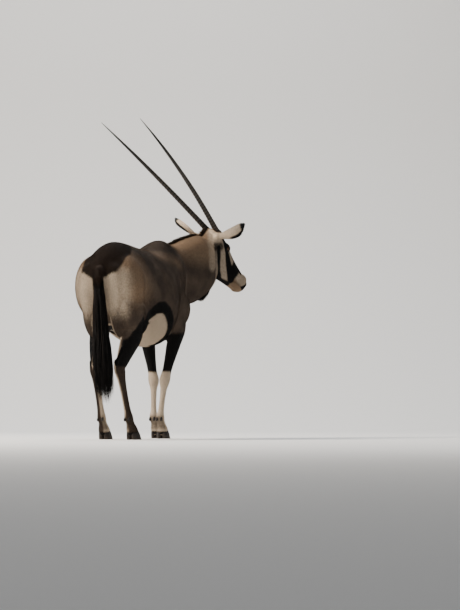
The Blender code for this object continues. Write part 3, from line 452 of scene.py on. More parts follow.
DOCK = [  # centre and half width
    (-0.470, -0.002, 0.972, 0.034), (-0.550, -0.008, 0.998, 0.034), (-0.595, -0.014, 0.945, 0.030),
    (-0.604, -0.022, 0.860, 0.022), (-0.606, -0.032, 0.740, 0.020), (-0.610, -0.043, 0.620, 0.016),
    (-0.614, -0.053, 0.500, 0.008),
]
dock_line = smooth_between(DOCK, 5)
dock_rings = []
across = Vector((0, 1, 0))
for i, (x, y, z, half) in enumerate(dock_line):
    run = Vector(dock_line[min(i + 1, len(dock_line) - 1)][:3]) - Vector(dock_line[max(i - 1, 0)][:3])
    run.normalize()
    dock_rings.append(oval(Vector((x, y, z)), across, across.cross(run).normalized(),
                           half, half * 0.9, half * 0.9, 2.0, 20))
bm = bmesh.new()
add_loft(bm, dock_rings)
dock = object_of("dock", bm)

# One skin. Body, head and dock are fused, the joints are eased, the face is carved and the ears are set
# on. The skin is drawn in by the depth of the coat, so that the hair over it reaches the real outline.

SKIN_VOXEL = 0.0033
SKIN_TRIANGLES = 180000
DOCK_ROOT = (-0.570, -0.008, 0.990)
COAT_DEPTH = {"body": 0.0026, "face": 0.0009, "ear": 0.0003}  # the legs are as the face
LEG_TOP = {"fore": 0.560, "hind": 0.620}
NECK_ROOT = (Vector((0.420, 0, WITHERS)), Vector((math.cos(math.radians(30)), 0, math.sin(math.radians(30)))))


def unit(v):
    """Each row of an array made one long."""
    return v / np.maximum(np.linalg.norm(v, axis=-1, keepdims=True), 1e-9)


def soft_step(v, low, high):
    """0 at low, 1 at high, and smooth between."""
    t = np.clip((v - low) / (high - low), 0, 1)
    return t * t * (3 - 2 * t)


def distance_to(points, line):
    """Distance from each point to a chain of straight runs."""
    best = np.full(len(points), 9.0)
    for a, b in zip(line, line[1:]):
        a, b = np.array(a), np.array(b)
        share = np.clip((points - a) @ (b - a) / ((b - a) @ (b - a)), 0, 1)
        best = np.minimum(best, np.linalg.norm(points - a - share[:, None] * (b - a), axis=1))
    return best


def in_frame(points, matrix):
    """Points in the frame of a matrix, as an array."""
    inverse = np.array(matrix.inverted())
    return points @ inverse[:3, :3].T + inverse[:3, 3]


def on_ear(points, side):
    """Place on an ear: share of its length, share of its half width, and depth towards its opening."""
    root, way, opening, across, rise = (np.array(v) for v in ear_frames[side])
    rel = points - root
    along = rel @ way / EAR_LENGTH
    rel = rel + rise * (EAR_SWEEP * np.sin(math.pi * np.clip(along, 0, 1) ** 1.35))[:, None]
    return along, rel @ across / EAR_HALF_WIDTH, rel @ opening


def regions(points):
    """Which part of the animal each point lies on."""
    region = np.full(len(points), "trunk", dtype="<U5")
    origin, way = (np.array(v) for v in NECK_ROOT)
    nape = in_frame(points, NAPE_PLANE)
    region[(points - origin) @ way > 0] = "neck"
    region[(nape[:, 0] > 0) & (points[:, 2] > 0.6)] = "head"
    own = in_frame(points, HEAD)
    for side, sign in (("left", 1), ("right", -1)):
        along, wide, deep = on_ear(points, side)
        region[(along > 0.06) & (along < 1.1) & (abs(wide) < 1.6) & (sign * own[:, 1] > 0.078)
               & (abs(deep) < 0.06)] = "ear"
    region[(points[:, 2] < LEG_TOP["fore"]) & (points[:, 0] > 0)] = "fore"
    region[(points[:, 2] < LEG_TOP["hind"]) & (points[:, 0] < -0.15)] = "hind"
    near_dock = distance_to(points, [row[:3] for row in DOCK[2:]]) < 0.030
    region[near_dock & (points[:, 0] < -0.575)] = "dock"
    return region


def vertices_of(mesh, kind="co"):
    """The places of a mesh's points, or their normals, as rows."""
    values = np.empty(len(mesh.vertices) * 3)
    mesh.vertices.foreach_get(kind, values)
    return values.reshape(-1, 3)


def ease_where(obj, weights, rounds):
    """Smooths an object's mesh where the weights say."""
    group = obj.vertex_groups.new(name="weights")
    for step in range(1, 11):
        group.add(np.flatnonzero(np.round(weights * 10) == step).tolist(), step / 10, "REPLACE")
    ease = obj.modifiers.new("ease", "SMOOTH")
    ease.factor = 0.5
    ease.iterations = rounds
    ease.vertex_group = "weights"
    settle(obj)
    obj.vertex_groups.clear()


def close_to(points, place, reach):
    """1 near a place, falling softly to 0 beyond the reach."""
    return np.exp(-(np.linalg.norm(points - np.array(place), axis=1) / reach) ** 4)


bm = bmesh.new()
for piece in (hide, head, dock):
    bm.from_mesh(piece.data)
    bpy.data.objects.remove(piece)
hide = fuse_soft(object_of("hide", bm), SKIN_VOXEL, 2)
places = vertices_of(hide.data)
nape = in_frame(places, NAPE_PLANE)
near = np.exp(-(nape[:, 0] / 0.020) ** 2) * (places[:, 2] > 0.75) * (np.abs(nape[:, 1]) < 0.3)
near = np.maximum(near, close_to(places, DOCK_ROOT, 0.085))
ease_where(hide, near, 30)

hide.data.calc_loop_triangles()
thin = hide.modifiers.new("thin", "DECIMATE")
thin.ratio = min(1.0, SKIN_TRIANGLES / len(hide.data.loop_triangles))
settle(hide)

carve_face(hide)
for side in ("right", "left"):
    boolean(hide, ear(side), "UNION")
places = vertices_of(hide.data)
near = [close_to(places, ear_frames[side][0], 0.036) for side in ("right", "left")]
ease_where(hide, np.maximum(*near), 12)

places, facing = vertices_of(hide.data), vertices_of(hide.data, "normal")
part_of = regions(places)
face_share = soft_step(in_frame(places, NAPE_PLANE)[:, 0], -0.03, 0.04) * (places[:, 2] > 0.7)
leg_share = soft_step(places[:, 2], 0.66, 0.50)
depth = COAT_DEPTH["body"] + (COAT_DEPTH["face"] - COAT_DEPTH["body"]) * np.maximum(face_share, leg_share)
depth = np.where(part_of == "ear", COAT_DEPTH["ear"], depth)
places = places - facing * depth[:, None]
hide.data.vertices.foreach_set("co", places.ravel())
hide.data.update()

# Markings. The coat is fawn grey, with black, dark brown, tan and cream patches. Each is a soft shape
# named for where it lies, kept on the skin and on every tuft that grows from it.

MARKS = ("black", "umber", "tan", "cream")
CROUP_WIDTH = [  # x, half width
    (-0.60, 0.125), (-0.559, 0.112), (-0.477, 0.128), (-0.351, 0.118), (-0.27, 0.090), (-0.16, 0.0),
]
FLANK_BAND = [  # x, height
    (-0.31, 0.650), (-0.235, 0.712), (-0.173, 0.757), (-0.115, 0.787), (-0.050, 0.790), (0.005, 0.765),
    (0.060, 0.722), (0.100, 0.685), (0.142, 0.630), (0.200, 0.578), (0.270, 0.545),
]
THIGH_TOP = [  # x, height
    (-0.53, 0.560), (-0.500, 0.577), (-0.468, 0.605), (-0.430, 0.660), (-0.385, 0.705), (-0.335, 0.735),
    (-0.292, 0.716), (-0.22, 0.700),
]
CREST = [  # x, y
    (0.300, 0.000), (0.460, -0.012), (0.540, -0.030), (0.620, -0.060), (0.700, -0.090), (0.790, -0.126),
]
CHEEK_STRIPE = [  # in the head's frame, seen from the side, as the next lines are
    (0.066, -0.040), (0.085, -0.058), (0.139, -0.100), (0.190, -0.128), (0.245, -0.140),
]
EYE_STRIPE = [
    (0.060, 0.050), (0.105, 0.022), (0.150, 0.000), (0.200, -0.032), (0.250, -0.056), (0.300, -0.078),
]
PALE_STREAK = [(0.140, 0.026), (0.165, 0.012), (0.200, -0.002), (0.232, -0.010)]
CHEEK_BAND = [(0.014, -0.066), (0.060, -0.122), (0.098, -0.165)]
TEMPLE = [(0.040, -0.062), (0.072, -0.022)]
JAW = [(0.212, -0.160), (0.270, -0.132), (0.310, -0.112)]


def edge(distance, softness=0.010):
    """1 well inside a shape, 0 well outside, from the distance inside its edge."""
    return soft_step(distance, -softness, softness)


class Paint:
    """How much of each colour every place on the animal has so far."""

    def __init__(self, count):
        self.marks = {name: np.zeros(count) for name in MARKS}

    def add(self, name, value, where=True):
        """Lays on a shape, which shows where it is stronger than what is there."""
        self.marks[name] = np.maximum(self.marks[name], value * where)

    def fade(self, name, share, where):
        """Takes a share of a colour away."""
        self.marks[name] = np.where(where, self.marks[name] * (1 - share), self.marks[name])


def paint_rump(paint, p, n, region):
    """The tail and the dark croup that runs down into it, with painted light round them: cream on the rear of
    the rump and tan over the haunches.
    """
    x, y, z = p.T
    out = abs(y)
    body = (region == "trunk") | (region == "hind") | (region == "fore")
    paint.add("umber", 1.0, region == "dock")
    paint.add("black", soft_step(0.965 - z, 0.0, 0.09), region == "dock")
    funnel = z - 0.925 - 0.62 * out + 0.3 * np.maximum(0, out - 0.09)
    croup = np.minimum(np.interp(x, *zip(*CROUP_WIDTH)) - out, funnel)
    paint.add("umber", edge(croup, 0.014), body & (x < -0.10))
    beside_tail = edge(0.030 - out, 0.010) * soft_step(z, 1.00, 0.93)
    paint.add("black", beside_tail, body & (x < -0.55) & (z > 0.86))
    back_line = edge(0.009 - out, 0.006)
    paint.add("umber", 0.75 * back_line, body & (z > 1.0) & (x > -0.3) & (x < 0.2))
    # Painted light: cream on the rear of the rump, where sun falls on fawn grey hair.
    painted_buttock_light = soft_step(-n[:, 0], -0.05, 0.95) * soft_step(z, 0.64, 0.82) * edge(1.02 - z, 0.05)
    paint.add("cream", 0.88 * painted_buttock_light, body & (x < -0.34))
    # Painted light: tan over the haunch, where sun falls on fawn grey hair.
    haunch = edge(0.23 - np.hypot(x + 0.45, z - 0.93), 0.17) * soft_step(z, 0.66, 0.86)
    paint.add("tan", 0.72 * haunch, body)


def paint_flank(paint, p, n, region):
    """The black band along the flank, arched over the white of the belly."""
    x, _, z = p.T
    body = (region == "trunk") | (region == "hind") | (region == "fore")
    band = distance_to(np.stack((x, z), axis=1), FLANK_BAND)
    arch = np.interp(x, *zip(*FLANK_BAND))
    paint.add("black", edge(0.036 - band, 0.008), body & (z > 0.53) & (x < 0.30))
    paint.add("cream", edge(arch - z - 0.01, 0.02), body & (x > -0.31) & (x < 0.27) & (z > 0.53))
    belly = (region == "trunk") & (z < 0.72) & (x < 0.30) & (x > -0.36)
    paint.add("cream", 0.9 * soft_step(-n[:, 2], 0.35, 0.8), belly)


def paint_hind_legs(paint, p, n, region):
    """Black thighs, pale inside, and pale cannons that are browner outside."""
    x, y, z = p.T
    inward = n[:, 1] * np.sign(y)
    thigh = np.minimum(np.interp(x, *zip(*THIGH_TOP)) - z, z - 0.430)
    high = 0.35 * soft_step(z, 0.56, 0.66)
    outside = soft_step(inward, high - 0.45, high - 0.05) * soft_step(abs(y), 0.03, 0.07)
    paint.add("black", edge(thigh, 0.012) * outside, (x < -0.15) & (z > 0.36))
    paint.add("cream", 0.7 * soft_step(-inward, 0.35, 0.8), (x < -0.15) & (z < 0.80) & (z > 0.40))
    cannon = (region == "hind") & (z < 0.45)
    paint.add("umber", 0.62 * soft_step(inward + 0.15 * n[:, 0], -0.60, -0.05), cannon)
    paint.add("cream", 0.75 * soft_step(-inward - 0.25 * n[:, 0], 0.25, 0.8), cannon)


def paint_fore_legs(paint, p, n, region):
    """Black forearms over white cannons with a dark streak down the front."""
    x, y, z = p.T
    fore = (x > 0.10) & (z < 0.75)
    knee = 0.412 - 0.045 * soft_step(n[:, 0], -0.3, 0.6)
    forearm = np.minimum(0.655 + 0.10 * (x - 0.33) - z, z - knee)
    paint.add("black", edge(forearm, 0.014), fore & (abs(y) > 0.035))
    paint.add("cream", edge(knee - z, 0.012), fore)
    streak = soft_step(n[:, 0] - 0.25 * n[:, 1], 0.45, 0.80) * edge(0.345 - z, 0.02) * edge(z - 0.15, 0.03)
    paint.add("umber", 0.95 * streak, fore)


def paint_feet(paint, p, n, region):
    """A black rim above the hooves and dark hair behind the pasterns."""
    z = p[:, 2]
    paint.add("black", edge(0.012 - abs(z - 0.035), 0.010), z < 0.06)
    paint.add("umber", 0.6 * edge(0.045 - abs(z - 0.10), 0.02) * soft_step(-n[:, 0], -0.2, 0.5), z < 0.2)


def paint_neck(paint, p, n, region):
    """A dark crest, tan over the top of the neck that is painted light, a saddle of tan behind, and a black
    line under the throat.
    """
    x, y, z = p.T
    hx = in_frame(p, HEAD)[:, 0]
    beside = abs(y - np.interp(x, *zip(*CREST)))
    neck = (region == "neck") | ((region == "head") & (hx < -0.005)) | ((region == "trunk") & (x > 0.24))
    crest = edge(0.020 - beside, 0.010) * soft_step(n[:, 2], 0.25, 0.6)
    paint.add("umber", crest, neck & (x > 0.40))
    # Painted light: the tan over the top of the neck stands for sun on the nape, over fawn grey hair.
    paint.add("tan", 0.80 * edge(z - 1.095, 0.110) * edge(x - 0.42, 0.08), neck)
    saddle = edge(0.045 - abs(z - 1.095 + 0.1 * (x - 0.2)), 0.055) * edge(x - 0.02, 0.06)
    paint.add("tan", 0.50 * saddle * edge(0.40 - x, 0.06), region == "trunk")
    withers = edge(z - 1.135, 0.024) * edge(x - 0.06, 0.07) * edge(0.47 - x, 0.05)
    paint.add("umber", 0.55 * withers, (region == "trunk") | (region == "neck"))
    throat = soft_step(-n[:, 2], 0.55, 0.85) * edge(0.030 - beside, 0.012)
    paint.add("black", throat, (region == "neck") | ((region == "trunk") & (x > 0.45)))


def paint_face(paint, p, n, region):
    """Black stripes through the eye and down the cheek, the jaw, the forehead and the blaze, on cream that
    painted shade greys.
    """
    hx, hy, hz = in_frame(p, HEAD).T
    side_view = np.stack((hx, hz), axis=1)
    face = region == "head"
    front = face | ((region == "neck") & (hx > -0.06))
    band = 0.043 - distance_to(side_view, CHEEK_BAND)
    cheek = (hx - 0.015) * 0.77 + (hz + 0.07) * 0.64 - 0.040
    # The cream bands are laid at part strength: their white is greyed by painted shade on the side of the
    # head.
    paint.add("cream", 0.46 * edge(band, 0.020), front)
    paint.add("cream", 0.60 * edge(np.minimum(cheek, hx - 0.045), 0.014), face)
    for line, half in ((CHEEK_STRIPE, 0.0155), (EYE_STRIPE, 0.025)):
        paint.add("black", edge(half - distance_to(side_view, line), 0.007), face & (abs(hy) > 0.010))
    paint.add("umber", 0.70 * edge(0.028 - distance_to(side_view, TEMPLE), 0.016), face & (hz < 0.02))
    paint.add("black", edge(0.018 - distance_to(side_view, JAW), 0.010), face)
    under_jaw = edge(0.020 - abs(hy), 0.008) * soft_step(-n[:, 2], 0.2, 0.6)
    paint.add("black", under_jaw, face & (hx < 0.28) & (hz < -0.09))
    forehead = np.minimum(0.030 - abs(hy) - 0.16 * (hx - 0.03), 0.115 - hx)
    paint.add("black", edge(forehead, 0.006), face & (hz > 0.030))
    bridge = np.minimum(0.007 - abs(hy), 0.21 - hx)
    paint.add("black", edge(bridge, 0.005), face & (hz > 0.030))
    blaze = np.minimum(np.minimum(0.040 - abs(hy), hx - 0.160), 0.340 - hx)
    paint.add("black", edge(blaze, 0.007), face & (hz > 0.000))
    round_nose = np.minimum(np.minimum(hx - 0.235, 0.318 - hx), hz + 0.062)
    paint.add("black", edge(round_nose, 0.010), face)
    streak = edge(0.0050 - distance_to(side_view, PALE_STREAK), 0.004)
    paint.fade("black", 0.72 * streak, face)


def paint_muzzle(paint, p, n, region):
    """A brownish chin warmed to tan by painted light from the ground, a cream muzzle that painted shade
    darkens forward, black nose and eye rims, and a pale poll.
    """
    own = in_frame(p, HEAD)
    hx, hy, hz = own.T
    face = region == "head"
    # The chin's tan is partly its own brownish colour and partly painted warm light reflected from the
    # ground.
    chin = edge(-0.052 - hz, 0.014) * edge(hx - 0.310, 0.014)
    paint.fade("cream", 0.75 * chin, face)
    paint.add("tan", chin, face)
    paint.add("umber", 0.35 * chin, face)
    # Painted shade: umber and tan laid over the front of the white muzzle.
    paint.add("umber", 0.30 * edge(hx - 0.34, 0.02), face)
    paint.add("tan", 0.55 * edge(hx - 0.33, 0.03), face)
    nose = hx - 0.402 + 0.45 * np.maximum(0, -0.020 - hz)
    paint.add("black", edge(nose, 0.007), face & (hz > -0.056))
    from_eye = np.stack((hx - EYE_PLACE.x, abs(hy) - (EYE_PLACE.y + 0.006), hz - EYE_PLACE.z), axis=1)
    paint.add("black", edge(0.0255 - np.linalg.norm(from_eye, axis=1), 0.003), face)
    poll = 0.066 - np.linalg.norm((own - (0.016, 0, -0.010)) * (1.0, 0.62, 1.0), axis=1)
    paint.add("cream", 0.85 * edge(poll, 0.014), face | ((region == "neck") & (hx > -0.06)))


def paint_ears(paint, p, n, region):
    """Cream ears with black points and rims."""
    hy = in_frame(p, HEAD)[:, 1]
    for side, sign, rim_from in (("right", -1, 0.40), ("left", 1, 0.30)):
        along, wide, _ = on_ear(p, side)
        mine = (region == "ear") & (hy * sign > 0)
        reach = np.interp(along, *list(zip(*EAR_ROWS))[:2])
        rim = soft_step(abs(wide) / np.maximum(1.1 * reach * EAR_FULLNESS[side], 0.1), 0.72, 0.92)
        rim = rim * edge(along - rim_from, 0.14)
        paint.add("cream", 0.80, mine)
        paint.add("black", np.maximum(edge(along - 0.84, 0.05), rim * 0.95), mine)


def attribute(mesh, name, values):
    """Keeps one number for each point on the mesh, for the material to read."""
    layer = mesh.attributes.new(name, "FLOAT", "POINT")
    layer.data.foreach_set("value", np.asarray(values, dtype=np.float32))


facing = vertices_of(hide.data, "normal")
hide.data.calc_loop_triangles()
triangles = np.empty(len(hide.data.loop_triangles) * 3, dtype=np.int32)
hide.data.loop_triangles.foreach_get("vertices", triangles)
triangles = triangles.reshape(-1, 3)
paint = Paint(len(places))
for lay in (paint_rump, paint_flank, paint_hind_legs, paint_fore_legs, paint_feet, paint_neck, paint_face,
            paint_muzzle, paint_ears):
    lay(paint, places, facing, part_of)
skin_marks = paint.marks
for name in MARKS:
    attribute(hide.data, name, skin_marks[name])
# The skin's tone and along are set low, so that it comes out darker than the hair over it: painted shade
# under the coat.
attribute(hide.data, "tone", np.full(len(places), 0.35))
attribute(hide.data, "along", np.full(len(places), 0.20))

# Colours of the coat. Hair of one kind all over, matt: the marks are laid over the fawn grey one after
# another, their edges broken by noise the size of the tufts. With them the skin is finished. It moves
# from the frame it is measured in to the solids' own: the right eye's solid gives the way between them.

COLOURS = {  # linear light
    "grey": (0.118, 0.087, 0.064),
    "grey deep": (0.066, 0.047, 0.036),
    "tan": (0.285, 0.190, 0.118),
    "cream": (0.580, 0.465, 0.345),
    "umber": (0.0165, 0.0092, 0.0056),
    "black": (0.0042, 0.0036, 0.0034),
}


class Wire:
    """A socket of a material's nodes. Sums and products of wires add their Math nodes."""

    def __init__(self, tree, socket=None):
        self.tree = tree
        self.socket = socket

    def node(self, kind, settings=None, sockets=None, output=0):
        """Adds a node: its settings first, then the value or the wire of each socket."""
        made = self.tree.nodes.new("ShaderNode" + kind)
        for name, value in (settings or {}).items():
            setattr(made, name, value)
        for name, value in (sockets or {}).items():
            if isinstance(value, Wire):
                self.tree.links.new(value.socket, made.inputs[name])
            else:
                made.inputs[name].default_value = value
        return Wire(self.tree, made.outputs[output])

    def maths(self, operation, a, b):
        return self.node("Math", {"operation": operation}, {0: a, 1: b})

    def __add__(self, other):
        return self.maths("ADD", self, other)

    def __radd__(self, other):
        return self.maths("ADD", other, self)

    def __sub__(self, other):
        return self.maths("SUBTRACT", self, other)

    def __rsub__(self, other):
        return self.maths("SUBTRACT", other, self)

    def __mul__(self, other):
        return self.maths("MULTIPLY", self, other)

    def __rmul__(self, other):
        return self.maths("MULTIPLY", other, self)

    def between(self, low, high):
        """0 below low, 1 above high."""
        return self.node("MapRange", {"interpolation_type": "SMOOTHSTEP"}, {0: self, 1: low, 2: high})

    def noise(self, scale, detail=2.0, roughness=0.5):
        """Cloudy noise from 0 to 1, fixed to the object."""
        place = self.node("TexCoord", output=3)
        sockets = {"Vector": place, "Scale": scale, "Detail": detail, "Roughness": roughness}
        return self.node("TexNoise", None, sockets)

    def bump(self, strength, distance, height):
        """A normal tilted by a height."""
        return self.node("Bump", None, {"Strength": strength, "Distance": distance, "Height": height})

    def blend(self, a, b):
        """Colour a where this wire is 0 and colour b where it is 1."""
        return self.node("Mix", {"data_type": "RGBA"}, {0: self, 6: a, 7: b}, output=2)

    def named(self, name):
        """A value kept on the mesh."""
        return self.node("Attribute", {"attribute_name": name}, output=2)


def material(name, **values):
    """A new material with its shader's plain values, and a first wire in it."""
    made = bpy.data.materials.new(name)
    made.use_nodes = True
    shader = made.node_tree.nodes["Principled BSDF"]
    for key, value in values.items():
        shader.inputs[key.replace("_", " ").title().replace("Ior", "IOR")].default_value = value
    return made, shader, Wire(made.node_tree)


def feed(shader, name, wire):
    """Leads a wire into a socket of the shader."""
    wire.tree.links.new(wire.socket, shader.inputs[name])


def rgba(name):
    """A colour of the coat as a socket takes it."""
    return (*COLOURS[name], 1.0)


def coat_material(name, bump):
    """The finish of the skin and of all hair. Only the skin needs the bump."""
    made, shader, wire = material(name, Roughness=0.78, Specular_IOR_Level=0.12)
    broad, fine = wire.noise(7.0, 3.0), wire.noise(85.0, 3.0, 0.65)
    ragged = (fine - 0.5) * 0.85 + (broad - 0.5) * 0.25
    colour = broad.between(0.35, 0.68).blend(rgba("grey deep"), rgba("grey"))
    for mark in ("tan", "cream", "umber", "black"):
        held = wire.named(mark)
        mask = (held + ragged * held * (1.35 - held)).between(0.10, 0.92)
        colour = mask.blend(colour, rgba(mark))
    # Tufts come out darker towards the root. The skin, whose tone and along are set low, comes out darker
    # still: painted shade under the coat.
    tone = wire.named("tone") * 0.45 + wire.named("along") * 0.28 + fine * 0.30 + 0.48
    shade = wire.node("VectorMath", {"operation": "SCALE"}, {0: colour, "Scale": tone})
    feed(shader, "Base Color", shade)
    grain = wire.noise(420.0, 2.0) * 0.6 + wire.noise(150.0, 2.0) * 0.4
    feed(shader, "Normal", wire.bump(bump, 0.002, grain))
    return made


def set_in_place(piece, slot, *replaced):
    """Moves a finished piece from the frame it is measured in to the frame of the solids."""
    piece.data.transform(Matrix.Translation(shift))
    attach(piece, "root")
    if replaced:
        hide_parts(*replaced)


hide_skin = surface_of(hide)
hide.data.materials.clear()
hide.data.materials.append(coat_material("hide", 0.5))
hide.data.shade_smooth()
low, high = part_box("eye_right")
shift = (Vector(low) + Vector(high)) / 2 - HEAD @ mirrored(EYE_PLACE, -1)
shift.z = 0.0
legs = [f"{n}_{s}" for n in ("thigh", "forearm", "shank_hind", "shank_fore") for s in ("right", "left")]
set_in_place(hide, "coat", "torso", "neck", "head", "ear_right", "ear_left", *legs)

# Short coat. Thin pointed tufts, longer than they stand apart, over the whole skin, shortest on the
# face, the ears and the legs. They follow the lie of the hair and hide the skin between them.

TUFTS = {  # cell that a tuft stands in, lift in degrees
    "trunk": (0.0034, 10), "neck": (0.0034, 11), "head": (0.0025, 13), "ear": (0.0028, 12),
    "dock": (0.0036, 10), "fore": (0.0031, 9), "hind": (0.0031, 9),
}
TUFT_LENGTHS = {"body": 0.0165, "face": 0.0078, "leg": 0.0100, "ear": 0.0090, "dock": 0.0280}
COAT_PIECES = [  # name, part of the animal, side, end of the trunk
    ("coat_flank_right", "trunk", -1, 1), ("coat_flank_left", "trunk", 1, 1),
    ("coat_rump_right", "trunk", -1, -1), ("coat_rump_left", "trunk", 1, -1),
    ("coat_neck_right", "neck", -1, 0), ("coat_neck_left", "neck", 1, 0),
    ("coat_head_right", "head", -1, 0), ("coat_head_left", "head", 1, 0),
    ("coat_ears", "ear", 0, 0), ("coat_dock", "dock", 0, 0),
    ("coat_fore_legs", "fore", 0, 0), ("coat_hind_legs", "hind", 0, 0),
]
UV_PATCH = 0.003  # how much of the unwrap one hair takes
TUFTS_A_CELL = 2.2
TUFT_WIDTH = (0.0011, 0.105)  # the same for all, and for each metre of length
TUFT_SUNK = 0.055  # share of the length that stands in the skin
rng = np.random.default_rng(11)


def lie_of(p, n, region):
    """The way the hair runs at each place."""
    way = np.tile(np.array((-1.0, 0.0, -0.40)), (len(p), 1))
    lower = soft_step(p[:, 2], 1.00, 0.70)[:, None]
    limb = ((p[:, 0] < -0.18) | (p[:, 0] > 0.18))[:, None] * lower
    way = way * (1 - limb) + np.array((-0.35, 0.0, -1.0)) * limb
    rear = soft_step(-n[:, 0], 0.45, 0.85)[:, None] * (p[:, 0] < -0.4)[:, None]
    way = way * (1 - rear) + np.array((0.0, 0.0, -1.0)) * rear
    neck_way = np.array(in_heading(-0.86, 0.0, -0.50))
    way = np.where((region == "neck")[:, None], neck_way, way)
    back = np.array(HEAD.to_3x3() @ Vector((-1, 0, -0.12)))
    way = np.where((region == "head")[:, None], back, way)
    for side, sign in (("left", 1), ("right", -1)):
        mine = (region == "ear") & (in_frame(p, HEAD)[:, 1] * sign > 0)
        way = np.where(mine[:, None], np.array(ear_frames[side][1]), way)
    way = np.where(((region == "fore") | (region == "hind"))[:, None], np.array((-0.10, 0, -1.0)), way)
    return unit(way - n * np.sum(way * n, axis=1, keepdims=True))


def unwrap(p, n, region):
    """Where each place lies on a flat unwrap of its own part: round it, and along it."""
    x, y, z = p.T
    own = in_frame(p, HEAD)
    turn = np.arctan2(abs(y), z - 0.87) / math.pi
    past = np.abs(x) - 0.40
    along = np.where(past > 0, 0.40 + 0.22 * np.arctan2(past, np.hypot(y, z - 0.87)), abs(x)) * np.sign(x)
    uv = np.stack((turn, (along + 0.75) / 1.5), axis=1)
    run = unit(np.array((0.40, -0.14, 0.20)))
    rel = p - np.array((0.42, 0.0, 0.96))
    across = unit(np.cross(run, (0, 0, 1)))
    turn = np.arctan2(rel @ across, rel @ np.cross(across, run)) / math.tau + 0.5
    neck = np.stack((turn, (rel @ run + 0.15) / 0.75), axis=1)
    turn = np.arctan2(own[:, 1], own[:, 2] + 0.05) / math.tau + 0.5
    face = np.stack((turn, (own[:, 0] + 0.08) / 0.53), axis=1)
    uv = np.where((region == "neck")[:, None], neck, uv)
    uv = np.where((region == "head")[:, None], face, uv)
    for k, (side, sign) in enumerate((("left", 1), ("right", -1))):
        share, wide, _ = on_ear(p, side)
        mine = (region == "ear") & (own[:, 1] * sign > 0)
        inner = (n @ np.array(ear_frames[side][2]) > 0) * 0.25
        leaf = np.stack((0.125 + 0.5 * k + inner + 0.07 * wide, share * 0.9 + 0.04), axis=1)
        uv = np.where(mine[:, None], leaf, uv)
    for label, legs in (("fore", FORE_LEGS), ("hind", HIND_LEGS)):
        for k, side in enumerate(("right", "left")):
            joints = np.array(legs[side])[::-1]
            cx, cy = (np.interp(z, joints[:, 2], joints[:, axis]) for axis in (0, 1))
            mine = (region == label) & ((y > 0) == (side == "left"))
            leg = np.stack(((np.arctan2(y - cy, x - cx) / math.tau + 0.5 + k) / 2, z / 0.65), axis=1)
            uv = np.where(mine[:, None], leg, uv)
    return np.clip(uv, 0.0, 1.0) * (1 - 2 * UV_PATCH) + UV_PATCH


def blades(name, root, way, side, length, width, deep, bend, segments, uv, values, wave=None):
    """Closed three-sided tapered blades, one from each root, as one mesh with its values and unwrap."""
    count = len(root)
    rings, centre, chart = [], root.copy(), []
    for k in range(segments):
        t = k / segments
        run = unit(way + bend * t)
        if wave is not None:
            run = unit(run + wave * np.sin(t * 9.0 + wave[:, :1] * 60))
        flat = unit(np.cross(side, run))
        share = 1.0 if segments == 1 else (1 - t) ** 0.8 * (0.72 + 1.7 * t * (1 - t))
        half, high = side * (width * share / 2)[:, None], flat * (deep * share)[:, None]
        rings += [centre + corner for corner in (half, high, -half)]
        chart += [uv + np.array((m * (1 - t), t)) * UV_PATCH for m in (0.5, 0.0, -0.5)]
        centre = centre + run * (length / segments)[:, None]
    rings.append(centre)
    chart.append(uv + np.array((0.0, 1.0)) * UV_PATCH)
    each = segments * 3 + 1
    points = np.stack(rings, axis=1).reshape(-1, 3)
    chart = np.stack(chart, axis=1).reshape(-1, 2)
    faces = [(0, 1, 2)]
    for ring in range(0, each - 4, 3):
        for k in range(3):
            a, b = ring + k, ring + (k + 1) % 3
            faces += [(a, a + 3, b), (b, a + 3, b + 3)]
    faces += [(each - 4 + k, each - 1, each - 4 + (k + 1) % 3) for k in range(3)]
    faces = (np.array(faces)[None] + (np.arange(count) * each)[:, None, None]).reshape(-1, 3)
    mesh = bpy.data.meshes.new(name)
    mesh.vertices.add(len(points))
    mesh.vertices.foreach_set("co", points.ravel())
    mesh.loops.add(faces.size)
    mesh.loops.foreach_set("vertex_index", faces.ravel())
    mesh.polygons.add(len(faces))
    mesh.polygons.foreach_set("loop_start", np.arange(0, faces.size, 3))
    mesh.update(calc_edges=True)
    layer = mesh.uv_layers.new(name="OFBake")
    layer.data.foreach_set("uv", chart[faces.ravel()].ravel())
    for key, value in values.items():
        attribute(mesh, key, np.repeat(value, each))
    along = np.repeat(np.arange(segments + 1) / segments, [3] * segments + [1])
    attribute(mesh, "along", np.tile(along, count))
    mesh.materials.append(tuft_finish)
    mesh.shade_smooth()
    obj = bpy.data.objects.new(name, mesh)
    bpy.context.scene.collection.objects.link(obj)
    return obj


corners = places[triangles]
areas = np.linalg.norm(np.cross(corners[:, 1] - corners[:, 0], corners[:, 2] - corners[:, 0]), axis=1) / 2
triangle_region = part_of[triangles[:, 0]]


def scatter(cell, chosen):
    """Roots spread evenly over the chosen triangles, at most one to a cell."""
    picked = np.flatnonzero(chosen)
    weight = areas[picked]
    count = int(weight.sum() / cell ** 2 * TUFTS_A_CELL)
    faces = picked[rng.choice(len(picked), count, p=weight / weight.sum())]
    a, b = rng.random(count), rng.random(count)
    a, b = np.where(a + b > 1, 1 - a, a), np.where(a + b > 1, 1 - b, b)
    shares = np.stack((1 - a - b, a, b), axis=1)
    p = np.einsum("nk,nkd->nd", shares, places[triangles[faces]])
    _, keep = np.unique(np.floor(p / cell).astype(np.int64), axis=0, return_index=True)
    keep.sort()
    n = unit(np.einsum("nk,nkd->nd", shares[keep], facing[triangles[faces[keep]]]))
    marks = {m: np.einsum("nk,nk->n", shares[keep], skin_marks[m][triangles[faces[keep]]]) for m in MARKS}
    return p[keep], n, part_of[triangles[faces[keep], 0]], marks


